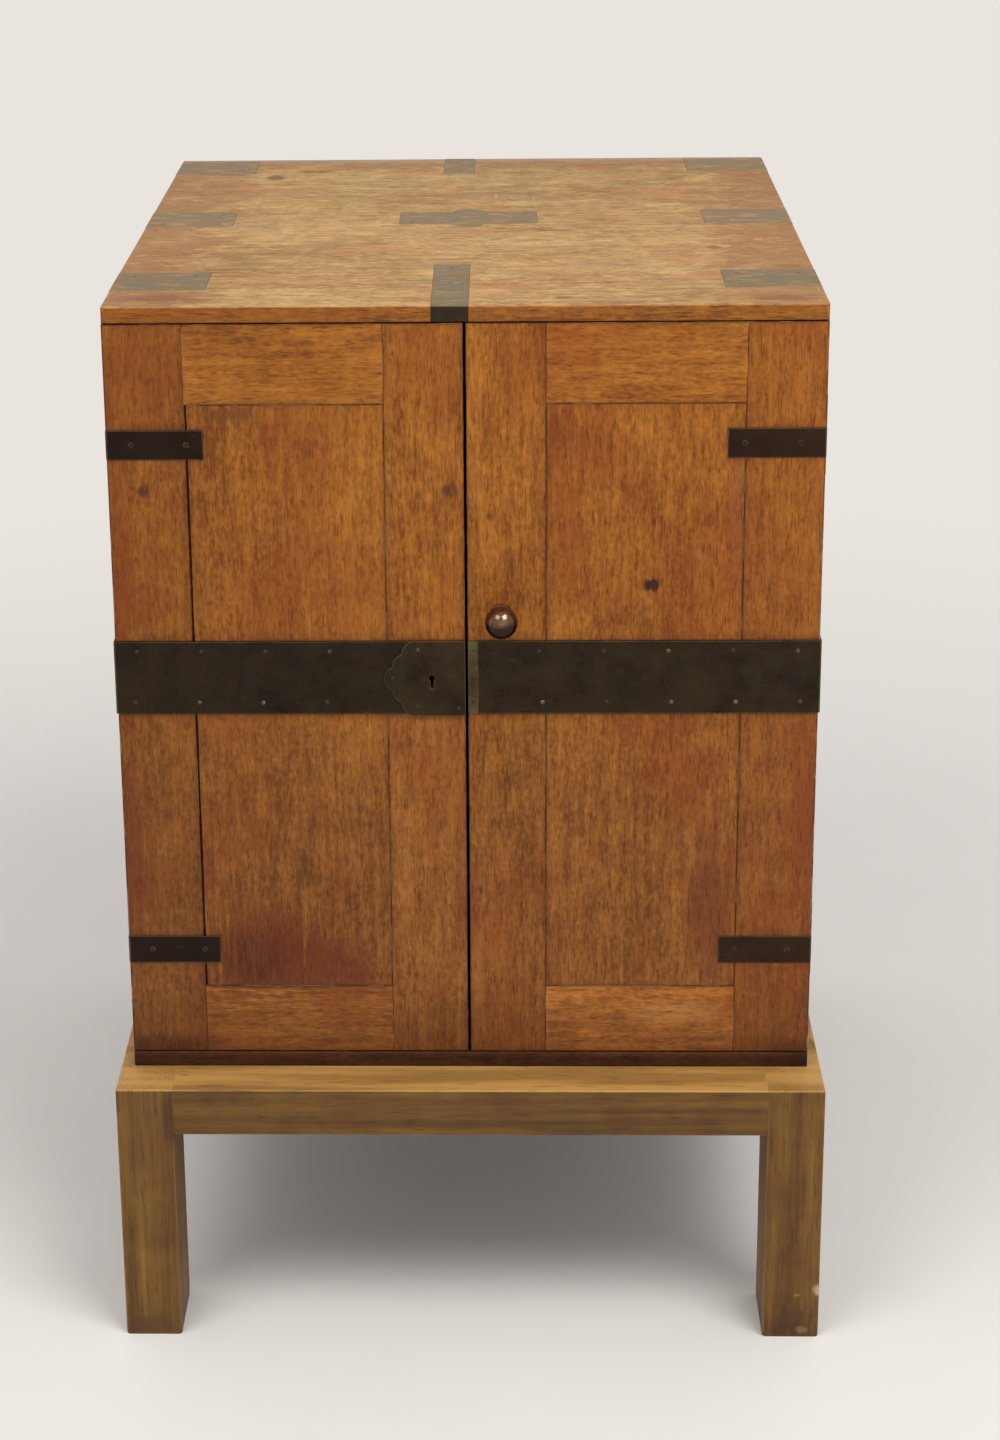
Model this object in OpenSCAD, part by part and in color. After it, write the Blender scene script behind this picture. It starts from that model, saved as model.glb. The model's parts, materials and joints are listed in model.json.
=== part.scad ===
// Brass-bound two-door travelling chest on a low square-legged stand.
// Origin: middle of the stand's footprint, on the floor. +Z up, the doors face -Y.

/* [Chest] */
// Width of the chest across its sides
chest_w = 505; // [470:1:560]
// Depth of the chest from the door faces to the back
chest_d = 548; // [500:1:600]
// Height of the chest from underside to top
chest_h = 587; // [570:1:640]
// Thickness of the top board
top_t = 12; // [11:0.5:15]
// Thickness of the bottom board
bottom_t = 12; // [11:0.5:15]
// Thickness of the side boards
side_t = 16; // [15:0.5:20]
// Thickness of the back boards
back_t = 9; // [8:0.5:11]
// Number of boards in the back
back_n = 3; // [2:1:5]
// Tongue of one back board in the next, long and thick
back_tongue = 3; // [2:0.5:3.5]

/* [Shelves] */
// Thickness of both shelves
shelf_t = 12; // [9:0.5:16]
// Height of the lower shelf's underside over the chest's underside
lower_shelf_z = 194; // [150:1:230]
// Height of the upper shelf's underside over the chest's underside
upper_shelf_z = 376; // [345:1:384]
// How far the shelves stand back from the doors
shelf_setback = 18; // [16:1:40]
// Depth of the housings that hold the shelves
housing_d = 5; // [3:0.5:5]

/* [Carcass joints] */
// Number of dovetails on each end of a side
tail_n = 6; // [4:1:8]
// Width of a dovetail at its root
tail_w = 56; // [40:1:60]
// How much wider a dovetail is at its tip, on each flank
tail_flare = 2; // [1:0.25:2.5]
// Wood left over the hidden end of each dovetail
tail_lap = 3; // [2:0.5:4]
// Width of the rebate that takes the back in each side
rebate_w = 8; // [6:0.5:9]
// Height of the rebate that takes the back in the top and bottom
rebate_h = 5; // [4:0.5:6]
// Gap left in every glued or pinned joint
joint_gap = 0.1; // [0.05:0.05:0.2]

/* [Doors] */
// Thickness of the doors
door_t = 20; // [19:0.5:24]
// Width of the stiles
stile_w = 56; // [50:1:62]
// Height of the top rails
top_rail_h = 58; // [50:1:66]
// Height of the bottom rails
bottom_rail_h = 54; // [48:1:62]
// Thickness of the flush panels
panel_t = 15; // [14:0.5:17]
// Thickness of the panels' tongues
tongue_t = 6; // [4:0.5:6.5]
// Length of the panels' tongues
tongue_l = 7; // [5:0.5:9]
// Room left at the bottom of the grooves for the panels to swell
tongue_gap = 0.5; // [0.3:0.1:0.9]
// Wood between the panel's face and its tongue
tongue_in = 5; // [4:0.5:6]
// Shrinkage gap beside the left panel's outer edge
left_shrink = 1.5; // [0.4:0.1:2]
// Thickness of the rails' tenons
tenon_t = 7; // [6:0.5:8]
// Length of the rails' tenons
tenon_l = 30; // [20:1:36]
// Shoulder over and under each tenon
tenon_shoulder = 9; // [6:0.5:12]
// Gap between the two doors
meeting_gap = 2; // [1.5:0.1:3]
// Gap over the doors
door_top_gap = 1; // [0.6:0.1:1.6]
// Gap under the doors
door_bottom_gap = 1.2; // [0.6:0.1:1.8]
// Gap between the doors and the front edges of the sides
door_gap = 0.6; // [0.5:0.05:0.8]

/* [Brass bands and straps] */
// Height of the wide band round the chest
band_h = 55; // [44:1:60]
// Height of the band's lower edge over the chest's underside
band_z = 285; // [270:1:300]
// Thickness of the sheet brass
brass_t = 1.8; // [1.4:0.1:2.4]
// How far the wide band stands proud of the wood
band_proud = 1.2; // [0.8:0.1:1.3]
// How far the narrow straps stand proud of the wood
strap_proud = 0.4; // [0.2:0.1:0.8]
// How far the brass on the top stands proud of the wood
top_proud = 0.1; // [0.05:0.05:0.3]
// Height of the narrow straps on the doors and sides
strap_h = 21; // [16:1:26]
// Length of the straps on each face that they lie on
strap_l = 68; // [60:1:80]
// Distance from the top down to the middle of the upper straps and hinges
strap_hi_in = 100; // [92:1:117]
// Height of the middle of the lower straps and hinges
strap_lo_z = 97; // [90:1:110]
// Width of the six straps at the ends of the top
top_strap_w = 55; // [40:1:60]
// How far the straps of the top run down the sides and the back
strap_drop = 40; // [30:1:50]
// Distance from the front edge to the first strap of the top
top_strap_front_in = 50; // [40:1:60]
// Distance from the back edge to the last strap of the top
top_strap_back_in = 8; // [6:1:20]
// Width of the straps at the middle of the front and back edges
mid_strap_w = 26; // [20:1:32]
// Length on the top of the strap at the middle of the front edge
front_strap_l = 128; // [90:1:140]
// Distance of the middle straps from the centre line, to the left
mid_strap_x = 10; // [0:1:14]
// Length of the plate in the middle of the top
plate_l = 108; // [90:1:120]
// Width of the plate in the middle of the top
plate_w = 46; // [40:1:56]
// Radius of the round bulges at the middle of the plate's long edges
plate_bulge = 12; // [8:1:14]
// How far the brass ends stay clear of the hinge line
hinge_clear = 3.2; // [3:0.1:4]

/* [Hinges] */
// Length of a hinge
hinge_h = 58; // [50:1:64]
// Radius of the hinge knuckles
knuckle_r = 2.2; // [2:0.1:2.4]
// Radius of the heads of the hinge pins
pin_head_r = 1.9; // [1.6:0.1:2]
// Height of the heads of the hinge pins
pin_head_h = 0.8; // [0.6:0.1:1.2]
// Radius of the hinge pins
hinge_pin_r = 1.1; // [1:0.05:1.2]
// Width of a hinge leaf
leaf_w = 12; // [8:0.5:12]
// Thickness of a hinge leaf
leaf_t = 1.6; // [1.2:0.1:1.8]
// Distance from the sides' faces out to the hinge line
hinge_out = 0.3; // [0.2:0.05:0.5]
// Running gap of a pin in its bore
pin_gap = 0.05; // [0.03:0.01:0.08]
// Running gap between parts that move past each other
run_gap = 0.3; // [0.25:0.05:0.4]

/* [Lock and knob] */
// Distance of the keyhole from the meeting edge of the left door
key_x = 24; // [22:1:28]
// Height of the keyhole over the chest's underside
key_z = 312; // [308:1:316]
// Radius of the round part of the keyhole
key_r = 2.6; // [2:0.1:3]
// Width of the keyhole's slot
key_slot_w = 2.4; // [2:0.1:3]
// Length of the keyhole's slot under its round part
key_slot_l = 8; // [6:0.5:9]
// Radius of the chamber in which the key turns
key_chamber_r = 9; // [8:0.5:10]
// Thickness of the lock plate on the band
lock_plate_t = 1.2; // [1:0.1:1.6]
// Half the height of the lock plate
lock_plate_r = 28.5; // [28:0.5:30]
// Length of the lock plate's straight part
lock_plate_l = 36; // [32:1:38]
// Radius of the lock plate's five lobes
lobe_r = 9.5; // [9:0.5:10]
// How far the end lobe stands out from the straight part
tip_out = 12.8; // [11:0.5:13]
// How far the lobes beside it stand out from the straight part
lobe_out = 6.7; // [5:0.5:7]
// Width of the lock case
case_w = 48; // [44:1:50]
// Height of the lock case
case_h = 44; // [40:1:48]
// Thickness of the lock case
case_t = 10.5; // [10:0.5:11]
// Thickness of the plate on the lock's edge and of the strike
edge_plate_t = 1.6; // [1.2:0.1:2]
// Length of the lock bolt
bolt_l = 34; // [30:1:36]
// Thickness of the lock bolt
bolt_t = 5; // [4:0.5:5]
// Height of the lock bolt
bolt_h = 12; // [10:0.5:13]
// Depth of the notch in the bolt, where the key turns
notch_d = 4; // [3:0.5:5]
// How far the middle of the lock bolt lies over the keyhole
bolt_up = 8; // [7:0.5:9]
// Travel of the lock bolt
bolt_travel = 8; // [6:0.5:9]
// Width of the strike's flange on the face of the right door
strike_flange_w = 7; // [5:0.5:8]
// Diameter of the knob's ball
knob_d = 23.5; // [20:0.5:26]
// Distance of the knob from the meeting edge of the right door
knob_x = 24; // [20:1:30]
// Height of the knob over the chest's underside
knob_z = 360; // [358:1:372]
// Length of the knob from the door to the middle of its ball
knob_reach = 17; // [15:0.5:20]
// Radius of the rose under the knob
rose_r = 8.5; // [7:0.5:10]
// Thickness of the rose
rose_t = 2.4; // [2:0.2:3]
// Radius of the knob's neck
neck_r = 4; // [3.5:0.5:5]
// Radius of the knob's threaded shank
shank_r = 2.5; // [2:0.1:3]
// Distance across the flats of the knob's nut
nut_w = 9; // [8:0.5:11]
// Thickness of the knob's nut
nut_t = 4; // [3:0.5:5]
// Radius of the washer face of the nut
washer_r = 6.5; // [6:0.5:8]

/* [Door bolts] */
// Radius of the sliding bolts inside the left door
rod_r = 3; // [2.5:0.1:3.2]
// Length of a sliding bolt
rod_l = 72; // [66:1:80]
// Travel of a sliding bolt
rod_travel = 8; // [6:0.5:8.5]
// How far a drawn bolt stays below the edge of the door
rod_in = 0.6; // [0.4:0.1:1]
// Length of a bolt's back plate
guide_l = 58; // [54:1:62]
// Distance of a bolt's back plate from the edge of the door
guide_in = 1; // [0.5:0.5:3]
// Width of a bolt's back plate
guide_w = 16; // [14:0.5:20]
// Thickness of a bolt's back plate
guide_t = 1.2; // [1:0.1:1.4]
// Length of a keeper along the bolt
keeper_l = 8; // [6:0.5:10]
// Wall of a keeper round the bolt
keeper_wall = 1.8; // [1.4:0.1:2.4]
// Length of the finger knob on a bolt
thumb_l = 5; // [4:0.5:6]
// Radius of the finger knob on a bolt
thumb_r = 2.2; // [1.8:0.1:2.4]

/* [Carrying handles] */
// Height of the handles' middle over the chest's underside
handle_z = 430; // [420:1:440]
// Length of the dish behind a handle
dish_l = 92; // [84:1:104]
// Height of the dish behind a handle
dish_h = 46; // [42:1:50]
// Depth of the dish
dish_d = 9; // [8.5:0.25:10]
// Wall of the dish
dish_wall = 1.4; // [1.2:0.1:1.8]
// Width of the rim round the dish
rim_w = 9; // [7:0.5:11]
// How far the rim stands proud of the side
rim_proud = 0.6; // [0.3:0.1:1]
// Radius of the handle's bar
bail_r = 3; // [2.5:0.1:3.2]
// Distance between the middles of a handle's arms
bail_l = 76; // [70:1:80]
// Drop from the pivots to the middle of the grip
bail_drop = 26; // [23:0.5:28]
// Radius of the bends of the bar
bend_r = 7; // [6:0.5:9]
// Radius of the pivots
pivot_r = 2; // [1.6:0.1:2.2]
// Height of the pivots over the middle of the dish
pivot_up = 15; // [13:0.5:16]

/* [Stand] */
// Height of the stand
stand_h = 208; // [160:1:300]
// Width of a leg
leg_w = 42; // [38:1:50]
// Depth of a leg
leg_d = 58; // [52:1:66]
// Height of the rails
rail_h = 37; // [32:1:60]
// Thickness of the front and back rails
front_rail_t = 50; // [44:1:52]
// Thickness of the side rails
side_rail_t = 38; // [32:1:38]
// Ledge in front of the chest
ledge_front = 37; // [33:1:45]
// Ledge behind the chest
ledge_back = 10; // [6:1:20]
// Ledge beside the chest
ledge_side = 10; // [6:1:16]
// Thickness of the rails' tenons in the legs
leg_tenon_t = 12; // [10:0.5:14]
// Length of the front and back rails' tenons
front_tenon_l = 16; // [12:0.5:18]
// Length of the side rails' tenons
side_tenon_l = 20; // [14:0.5:22]
// Shoulder over and under each tenon of the stand
leg_shoulder = 6; // [4:0.5:8]
// Radius of the turned-under edge of each foot
foot_round = 3; // [1:0.5:5]

/* [Hidden] */
$fn = 64;

// Colours, as the photograph shows them
door_wood = [0.60, 0.37, 0.17];
top_wood = [0.70, 0.54, 0.38];
inner_wood = [0.50, 0.30, 0.15];
stand_wood = [0.48, 0.34, 0.16];
dark_brass = [0.20, 0.16, 0.11];
top_brass = [0.50, 0.46, 0.36];
worn_brass = [0.55, 0.45, 0.25];
iron = [0.30, 0.29, 0.28];

// How far a cutting shape runs past the face that it cuts
over = 1;

// Places, from the stand's footprint
hw = chest_w / 2;
stand_w = chest_w + 2 * ledge_side;
stand_d = ledge_front + chest_d + ledge_back;
front_y = ledge_front - stand_d / 2;

// Places in the chest's own frame: y from the door faces, z from the underside
side_y = door_t + door_gap;
side_run = chest_d - side_y;
inner_x = hw - side_t;
roof_z = chest_h - top_t;
back_face = chest_d - back_t;
shelf_y = side_y + shelf_setback;
tail_pitch = side_run / tail_n;
band_inlay = brass_t - band_proud;
strap_inlay = brass_t - strap_proud;
top_inlay = brass_t - top_proud;
band_top = band_z + band_h;
pattern_y0 = top_strap_front_in;
pattern_y2 = chest_d - top_strap_back_in - top_strap_w;
top_strap_ys = [pattern_y0, (pattern_y0 + pattern_y2) / 2, pattern_y2];
plate_y = (pattern_y0 + pattern_y2 + top_strap_w) / 2;
strap_zs = [strap_lo_z, chest_h - strap_hi_in];
hinge_x = hw + hinge_out;
hinge_y = door_t + door_gap / 2;
case_knuckles = [0, 2, 4];
door_knuckles = [1, 3];
knuckle_pitch = (hinge_h + run_gap) / (len(case_knuckles) + len(door_knuckles));

// Places in a door's own frame: x from its meeting edge
door_w = hw - meeting_gap / 2;
door_z0 = bottom_t + door_bottom_gap;
door_z1 = roof_z - door_top_gap;
panel_w = door_w - 2 * stile_w;
panel_z0 = door_z0 + bottom_rail_h;
panel_z1 = door_z1 - top_rail_h;
bolt_y = door_t - case_t / 2;
bolt_z = key_z + bolt_up;
case_z0 = key_z - case_h / 2;
rod_x = stile_w / 2;
rod_y = door_t + guide_t + run_gap + rod_r;
keeper_r = rod_r + pin_gap;
keeper_w = 2 * (rod_r + keeper_wall);
guide_top = -guide_in;
thumb_z = guide_top - (guide_l + rod_travel) / 2;

// The handles
handle_y = (side_y + chest_d) / 2;
rim_face = hw + rim_proud;
dish_floor = rim_face - dish_d;
rim_t = brass_t;
pivot_x = rim_face - rim_proud - dish_d / 2;
pivot_z = handle_z + pivot_up;
bail_side = bail_l / 2;

module in_chest() {
  translate([0, front_y, stand_h]) children();
}

// Puts a shape made for the right-hand side on the side that s names
module on_side(s) {
  if (s > 0) children();
  else mirror([1, 0, 0]) children();
}

// Puts a shape from a door's own frame into the chest, on the side that s names
module on_door(s) {
  in_chest() on_side(s) translate([meeting_gap / 2, 0, 0]) children();
}

// Block between two corners, grown by g on all six faces
module block(low, high, g = 0) {
  translate(low - [g, g, g]) cube(high - low + 2 * [g, g, g]);
}

// Dovetails of a side in its own plane, grown by g: across is the chest's depth, up is height
module tails(g = 0) {
  half = tail_w / 2 + g;
  for (i = [0 : tail_n - 1]) {
    at = side_y + (i + 0.5) * tail_pitch;
    tip = chest_h - tail_lap + g;
    foot = tail_lap - g;
    translate([at, 0]) polygon([
      [half, roof_z - over], [half, roof_z], [half + tail_flare, tip],
      [-half - tail_flare, tip], [-half, roof_z], [-half, roof_z - over]
    ]);
    translate([at, 0]) polygon([
      [-half, bottom_t + over], [-half, bottom_t], [-half - tail_flare, foot],
      [half + tail_flare, foot], [half, bottom_t], [half, bottom_t + over]
    ]);
  }
}

// Stands a drawing of the side's plane up, from x = from, t thick
module upright(from, t) {
  translate([from, 0, 0]) rotate([90, 0, 90]) linear_extrude(t) children();
}

module tail_sockets() {
  for (s = [-1, 1]) on_side(s) upright(inner_x - joint_gap, side_t + joint_gap + over) tails(joint_gap);
}

// Brass on the chest. Each solid is made for the right-hand side; g grows it into its pocket.
module top_strap_solid(y, g = 0) {
  block([hw - strap_l, y, chest_h - top_inlay], [hw + top_proud, y + top_strap_w, chest_h + top_proud], g);
  block([hw - top_inlay, y, chest_h - strap_drop],
    [hw + top_proud, y + top_strap_w, chest_h + top_proud], g);
}

module top_strap_front_solid(g = 0) {
  left = -mid_strap_x - mid_strap_w / 2;
  foot = roof_z + (g > 0 ? -over : joint_gap);
  block([left, -top_proud, chest_h - top_inlay], [left + mid_strap_w, front_strap_l, chest_h + top_proud], g);
  block([left, -top_proud, foot], [left + mid_strap_w, top_inlay, chest_h + top_proud], g);
}

module top_strap_back_solid(g = 0) {
  left = -mid_strap_x - mid_strap_w / 2;
  block([left, chest_d - strap_l, chest_h - top_inlay],
    [left + mid_strap_w, chest_d + top_proud, chest_h + top_proud], g);
  block([left, chest_d - top_inlay, chest_h - strap_drop],
    [left + mid_strap_w, chest_d + top_proud, chest_h + top_proud], g);
}

module top_plate_solid(g = 0) {
  translate([0, plate_y, chest_h - top_inlay - g]) linear_extrude(brass_t + 2 * g) {
    square([plate_l + 2 * g, plate_w + 2 * g], center = true);
    for (s = [-1, 1]) translate([0, s * plate_w / 2]) circle(r = plate_bulge + g);
  }
}

module side_band_solid(g = 0) {
  block([hw - band_inlay, side_y + hinge_clear, band_z], [hw + band_proud, chest_d + band_proud, band_top], g);
  block([hw - strap_l, chest_d - band_inlay, band_z], [hw + band_proud, chest_d + band_proud, band_top], g);
}

module side_strap_solid(z, g = 0) {
  start = side_y + hinge_clear;
  block([hw - strap_inlay, start, z - strap_h / 2],
    [hw + strap_proud, start + strap_l, z + strap_h / 2], g);
}

// Dish, rim and pocket of a carrying handle on the right-hand side
module dish_box(g = 0) {
  half_l = dish_l / 2 + dish_wall;
  half_h = dish_h / 2 + dish_wall;
  block([dish_floor - dish_wall, handle_y - half_l, handle_z - half_h],
    [rim_face, handle_y + half_l, handle_z + half_h], g);
}

module rim_box(g = 0) {
  half_l = dish_l / 2 + rim_w;
  half_h = dish_h / 2 + rim_w;
  block([rim_face - rim_t, handle_y - half_l, handle_z - half_h],
    [rim_face, handle_y + half_l, handle_z + half_h], g);
}

// Carcass boards
module side_board(s) {
  color(door_wood) in_chest() on_side(s) difference() {
    upright(inner_x, side_t) {
      translate([side_y, bottom_t]) square([side_run, roof_z - bottom_t]);
      tails();
    }
    block([inner_x - over, back_face, -over], [inner_x + rebate_w, chest_d + over, chest_h + over]);
    for (z = [lower_shelf_z, upper_shelf_z]) {
      block([inner_x - over, shelf_y - joint_gap, z - joint_gap],
        [inner_x + housing_d, back_face + over, z + shelf_t + joint_gap]);
    }
    for (y = top_strap_ys) top_strap_solid(y, joint_gap);
    for (z = strap_zs) {
      side_strap_solid(z, joint_gap);
      hinge_pocket(z);
    }
    side_band_solid(joint_gap);
    dish_box(joint_gap);
    rim_box(joint_gap);
  }
}

module board_blank(z, t) {
  difference() {
    block([-hw, 0, z], [hw, chest_d, z + t]);
    tail_sockets();
  }
}

module top_board() {
  color(top_wood) in_chest() difference() {
    board_blank(roof_z, top_t);
    block([-inner_x - rebate_w, back_face, roof_z - over], [inner_x + rebate_w, chest_d + over, roof_z + rebate_h]);
    for (s = [-1, 1], y = top_strap_ys) on_side(s) top_strap_solid(y, joint_gap);
    top_strap_front_solid(joint_gap);
    top_strap_back_solid(joint_gap);
    top_plate_solid(joint_gap);
    bolt_socket(roof_z - over, rod_travel + over);
  }
}

module bottom_board() {
  color(inner_wood) in_chest() difference() {
    board_blank(0, bottom_t);
    block([-inner_x - rebate_w, back_face, bottom_t - rebate_h],
      [inner_x + rebate_w, chest_d + over, bottom_t + over]);
    bolt_socket(bottom_t - rod_travel, rod_travel + over);
  }
}

module bolt_socket(z, depth) {
  translate([-meeting_gap / 2 - rod_x, rod_y, z]) cylinder(r = rod_r + run_gap, h = depth);
}

module back_boards() {
  span = 2 * (inner_x + rebate_w - joint_gap);
  each_w = span / back_n;
  low = bottom_t - rebate_h + joint_gap;
  high = roof_z + rebate_h - joint_gap;
  mid = back_face + (back_t - back_tongue) / 2;
  color(inner_wood) in_chest() difference() {
    for (i = [0 : back_n - 1]) {
      x0 = -span / 2 + i * each_w;
      right = x0 + each_w - (i < back_n - 1 ? joint_gap : 0);
      difference() {
        union() {
          block([x0, back_face, low], [right, chest_d, high]);
          if (i < back_n - 1) {
            block([right - over, mid, low], [right + back_tongue, mid + back_tongue, high]);
          }
        }
        if (i > 0) {
          block([x0 - over, mid, low - over], [x0 + back_tongue, mid + back_tongue, high + over], joint_gap);
        }
      }
    }
    for (s = [-1, 1]) on_side(s) side_band_solid(joint_gap);
    top_strap_back_solid(joint_gap);
  }
}

module shelf(z) {
  reach = inner_x + housing_d - joint_gap;
  color(inner_wood) in_chest() block([-reach, shelf_y, z], [reach, back_face - joint_gap, z + shelf_t]);
}

// Brass on the carcass
module top_straps(s) {
  color(top_brass) in_chest() on_side(s) for (y = top_strap_ys) top_strap_solid(y);
}

module top_strap_front() {
  color(top_brass) in_chest() top_strap_front_solid();
}

module top_strap_back() {
  color(top_brass) in_chest() top_strap_back_solid();
}

module top_plate() {
  color(top_brass) in_chest() top_plate_solid();
}

module side_band(s) {
  color(dark_brass) in_chest() on_side(s) side_band_solid();
}

module side_straps(s) {
  color(dark_brass) in_chest() on_side(s) for (z = strap_zs) side_strap_solid(z);
}

// Brass on the doors, in a door's own frame
module door_band_solid(start, g = 0) {
  end = door_t - hinge_clear;
  block([start, -band_proud, band_z], [door_w + band_proud, band_inlay, band_top], g);
  block([door_w - band_inlay, -band_proud, band_z], [door_w + band_proud, end, band_top], g);
}

module door_strap_solid(z, g = 0) {
  end = door_t - hinge_clear;
  low = z - strap_h / 2;
  high = z + strap_h / 2;
  block([door_w - strap_l, -strap_proud, low], [door_w + strap_proud, strap_inlay, high], g);
  block([door_w - strap_inlay, -strap_proud, low], [door_w + strap_proud, end, high], g);
}

module strike_solid(g = 0) {
  web_end = bolt_y + bolt_t / 2 + edge_plate_t;
  block([0, -band_proud, band_z], [strike_flange_w, band_inlay, band_top], g);
  block([0, -band_proud, band_z], [edge_plate_t, web_end, band_top], g);
}

// Pockets that the brass needs in a door
module door_pockets(s) {
  door_band_solid(0, joint_gap);
  for (z = strap_zs) {
    door_strap_solid(z, joint_gap);
    translate([-meeting_gap / 2, 0, 0]) hinge_pocket(z);
  }
  if (s > 0) strike_solid(joint_gap);
  else {
    lock_body(joint_gap);
    keyhole(-over, door_t);
  }
}

// Room for a hinge: both leaves and the barrel
module hinge_pocket(z) {
  low = z - hinge_h / 2 - run_gap;
  leaf_edge = hinge_x - knuckle_r - run_gap - leaf_w;
  half = door_gap / 2 + leaf_t + joint_gap;
  barrel_h = hinge_h + pin_gap + pin_head_h + 2 * run_gap;
  block([leaf_edge - joint_gap, hinge_y - half, low], [hw + over, hinge_y + half, low + hinge_h + 2 * run_gap]);
  translate([hinge_x, hinge_y, low]) cylinder(r = knuckle_r + run_gap, h = barrel_h);
}

// Groove for the panel's tongue, along both stiles and both rails
module panel_groove() {
  reach = tongue_l + tongue_gap;
  block([stile_w - reach, tongue_in - joint_gap, panel_z0 - reach],
    [stile_w + panel_w + reach, tongue_in + tongue_t + joint_gap, panel_z1 + reach]);
}

module rail_tenons(z0, h, g = 0) {
  y = tongue_in + (tongue_t - tenon_t) / 2;
  block([stile_w - tenon_l, y, z0 + tenon_shoulder],
    [stile_w + panel_w + tenon_l, y + tenon_t, z0 + h - tenon_shoulder], g);
}

module door_stile(s, x) {
  color(door_wood) on_door(s) difference() {
    block([x, 0, door_z0], [x + stile_w, door_t, door_z1]);
    panel_groove();
    rail_tenons(door_z0, bottom_rail_h, joint_gap);
    rail_tenons(door_z1 - top_rail_h, top_rail_h, joint_gap);
    door_pockets(s);
    if (s > 0) {
      knob_hole();
      strike_mortise();
    }
  }
}

module door_rail(s, z0, h) {
  color(door_wood) on_door(s) difference() {
    union() {
      block([stile_w, 0, z0], [stile_w + panel_w, door_t, z0 + h]);
      rail_tenons(z0, h);
    }
    difference() {
      panel_groove();
      block([stile_w - tenon_l - over, -over, z0 - over], [stile_w, door_t + over, z0 + h + over]);
      block([stile_w + panel_w, -over, z0 - over],
        [stile_w + panel_w + tenon_l + over, door_t + over, z0 + h + over]);
    }
    door_pockets(s);
  }
}

module door_panel(s) {
  outer = stile_w + panel_w - (s < 0 ? left_shrink : joint_gap);
  color(door_wood) on_door(s) difference() {
    union() {
      block([stile_w + joint_gap, 0, panel_z0 + joint_gap], [outer, panel_t, panel_z1 - joint_gap]);
      block([stile_w - tongue_l, tongue_in, panel_z0 - tongue_l],
        [stile_w + panel_w + tongue_l, tongue_in + tongue_t, panel_z1 + tongue_l]);
    }
    door_pockets(s);
  }
}

module door_band(s) {
  color(dark_brass) on_door(s) difference() {
    door_band_solid(s > 0 ? strike_flange_w + joint_gap : 0);
    if (s < 0) keyhole(-band_proud - over, 2 * over + brass_t);
  }
}

module door_straps(s) {
  color(dark_brass) on_door(s) for (z = strap_zs) door_strap_solid(z);
}

// Lock, in the left door
module keyhole(y, depth) {
  translate([key_x, y, key_z]) {
    rotate([-90, 0, 0]) cylinder(r = key_r, h = depth);
    translate([-key_slot_w / 2, 0, -key_slot_l]) cube([key_slot_w, depth, key_slot_l]);
  }
}

// Outline of the lock plate: straight at the meeting edge, three lobes at the other end
module lock_plate_outline() {
  step = lock_plate_r - lobe_r;
  translate([0, -lock_plate_r]) square([lock_plate_l, 2 * lock_plate_r]);
  for (s = [-1, 1]) {
    translate([lock_plate_l, s * step]) circle(r = lobe_r);
    translate([lock_plate_l + lobe_out, s * step / 2]) circle(r = lobe_r);
  }
  translate([lock_plate_l + tip_out, 0]) circle(r = lobe_r);
  translate([lock_plate_l - over, -step]) square([lobe_out + over, 2 * step]);
}

module lock_plate() {
  face = -band_proud;
  color(dark_brass) on_door(-1) difference() {
    translate([0, face, key_z]) rotate([90, 0, 0]) linear_extrude(lock_plate_t) lock_plate_outline();
    keyhole(face - lock_plate_t - over, lock_plate_t + 2 * over);
  }
}

module lock_body(g = 0) {
  block([0, door_t - case_t, case_z0], [case_w, door_t, case_z0 + case_h], g);
}

module lock_case() {
  half_t = bolt_t / 2 + run_gap;
  half_h = bolt_h / 2 + run_gap;
  color(iron) on_door(-1) difference() {
    lock_body();
    block([-over, bolt_y - half_t, bolt_z - half_h], [bolt_l + edge_plate_t, bolt_y + half_t, bolt_z + half_h]);
    translate([key_x, bolt_y - half_t, key_z]) rotate([-90, 0, 0]) cylinder(r = key_chamber_r, h = 2 * half_t);
    keyhole(door_t - case_t - over, over + case_t / 2);
  }
}

module lock_bolt() {
  notch_w = bolt_travel;
  color(worn_brass) on_door(-1) difference() {
    block([run_gap, bolt_y - bolt_t / 2, bolt_z - bolt_h / 2],
      [run_gap + bolt_l, bolt_y + bolt_t / 2, bolt_z + bolt_h / 2]);
    block([key_x - notch_w / 2, 0, bolt_z - bolt_h / 2 - over],
      [key_x + notch_w / 2, door_t, bolt_z - bolt_h / 2 + notch_d]);
  }
}

module strike_mortise() {
  half_t = bolt_t / 2 + run_gap;
  half_h = bolt_h / 2 + run_gap;
  block([-over, bolt_y - half_t, bolt_z - half_h],
    [bolt_travel + over, bolt_y + half_t, bolt_z + half_h]);
}

module strike_plate() {
  color(worn_brass) on_door(1) difference() {
    strike_solid();
    strike_mortise();
  }
}

// Knob, on the right door
module knob_hole() {
  translate([knob_x, -over, knob_z]) rotate([-90, 0, 0]) cylinder(r = shank_r + joint_gap, h = door_t + 2 * over);
}

module knob() {
  ball_r = knob_d / 2;
  step_r = (rose_r + neck_r) / 2;
  shank_l = door_t + nut_t + 2 * over;
  color(worn_brass) on_door(1) translate([knob_x, 0, knob_z]) rotate([90, 0, 0]) union() {
    rotate_extrude() intersection() {
      square([ball_r + over, knob_reach + ball_r + over]);
      union() {
        translate([0, knob_reach]) circle(r = ball_r);
        square([neck_r, knob_reach]);
        square([rose_r, rose_t]);
        translate([0, rose_t]) square([step_r, rose_t / 2]);
      }
    }
    translate([0, 0, over - shank_l]) cylinder(r = shank_r, h = shank_l);
  }
}

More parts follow.
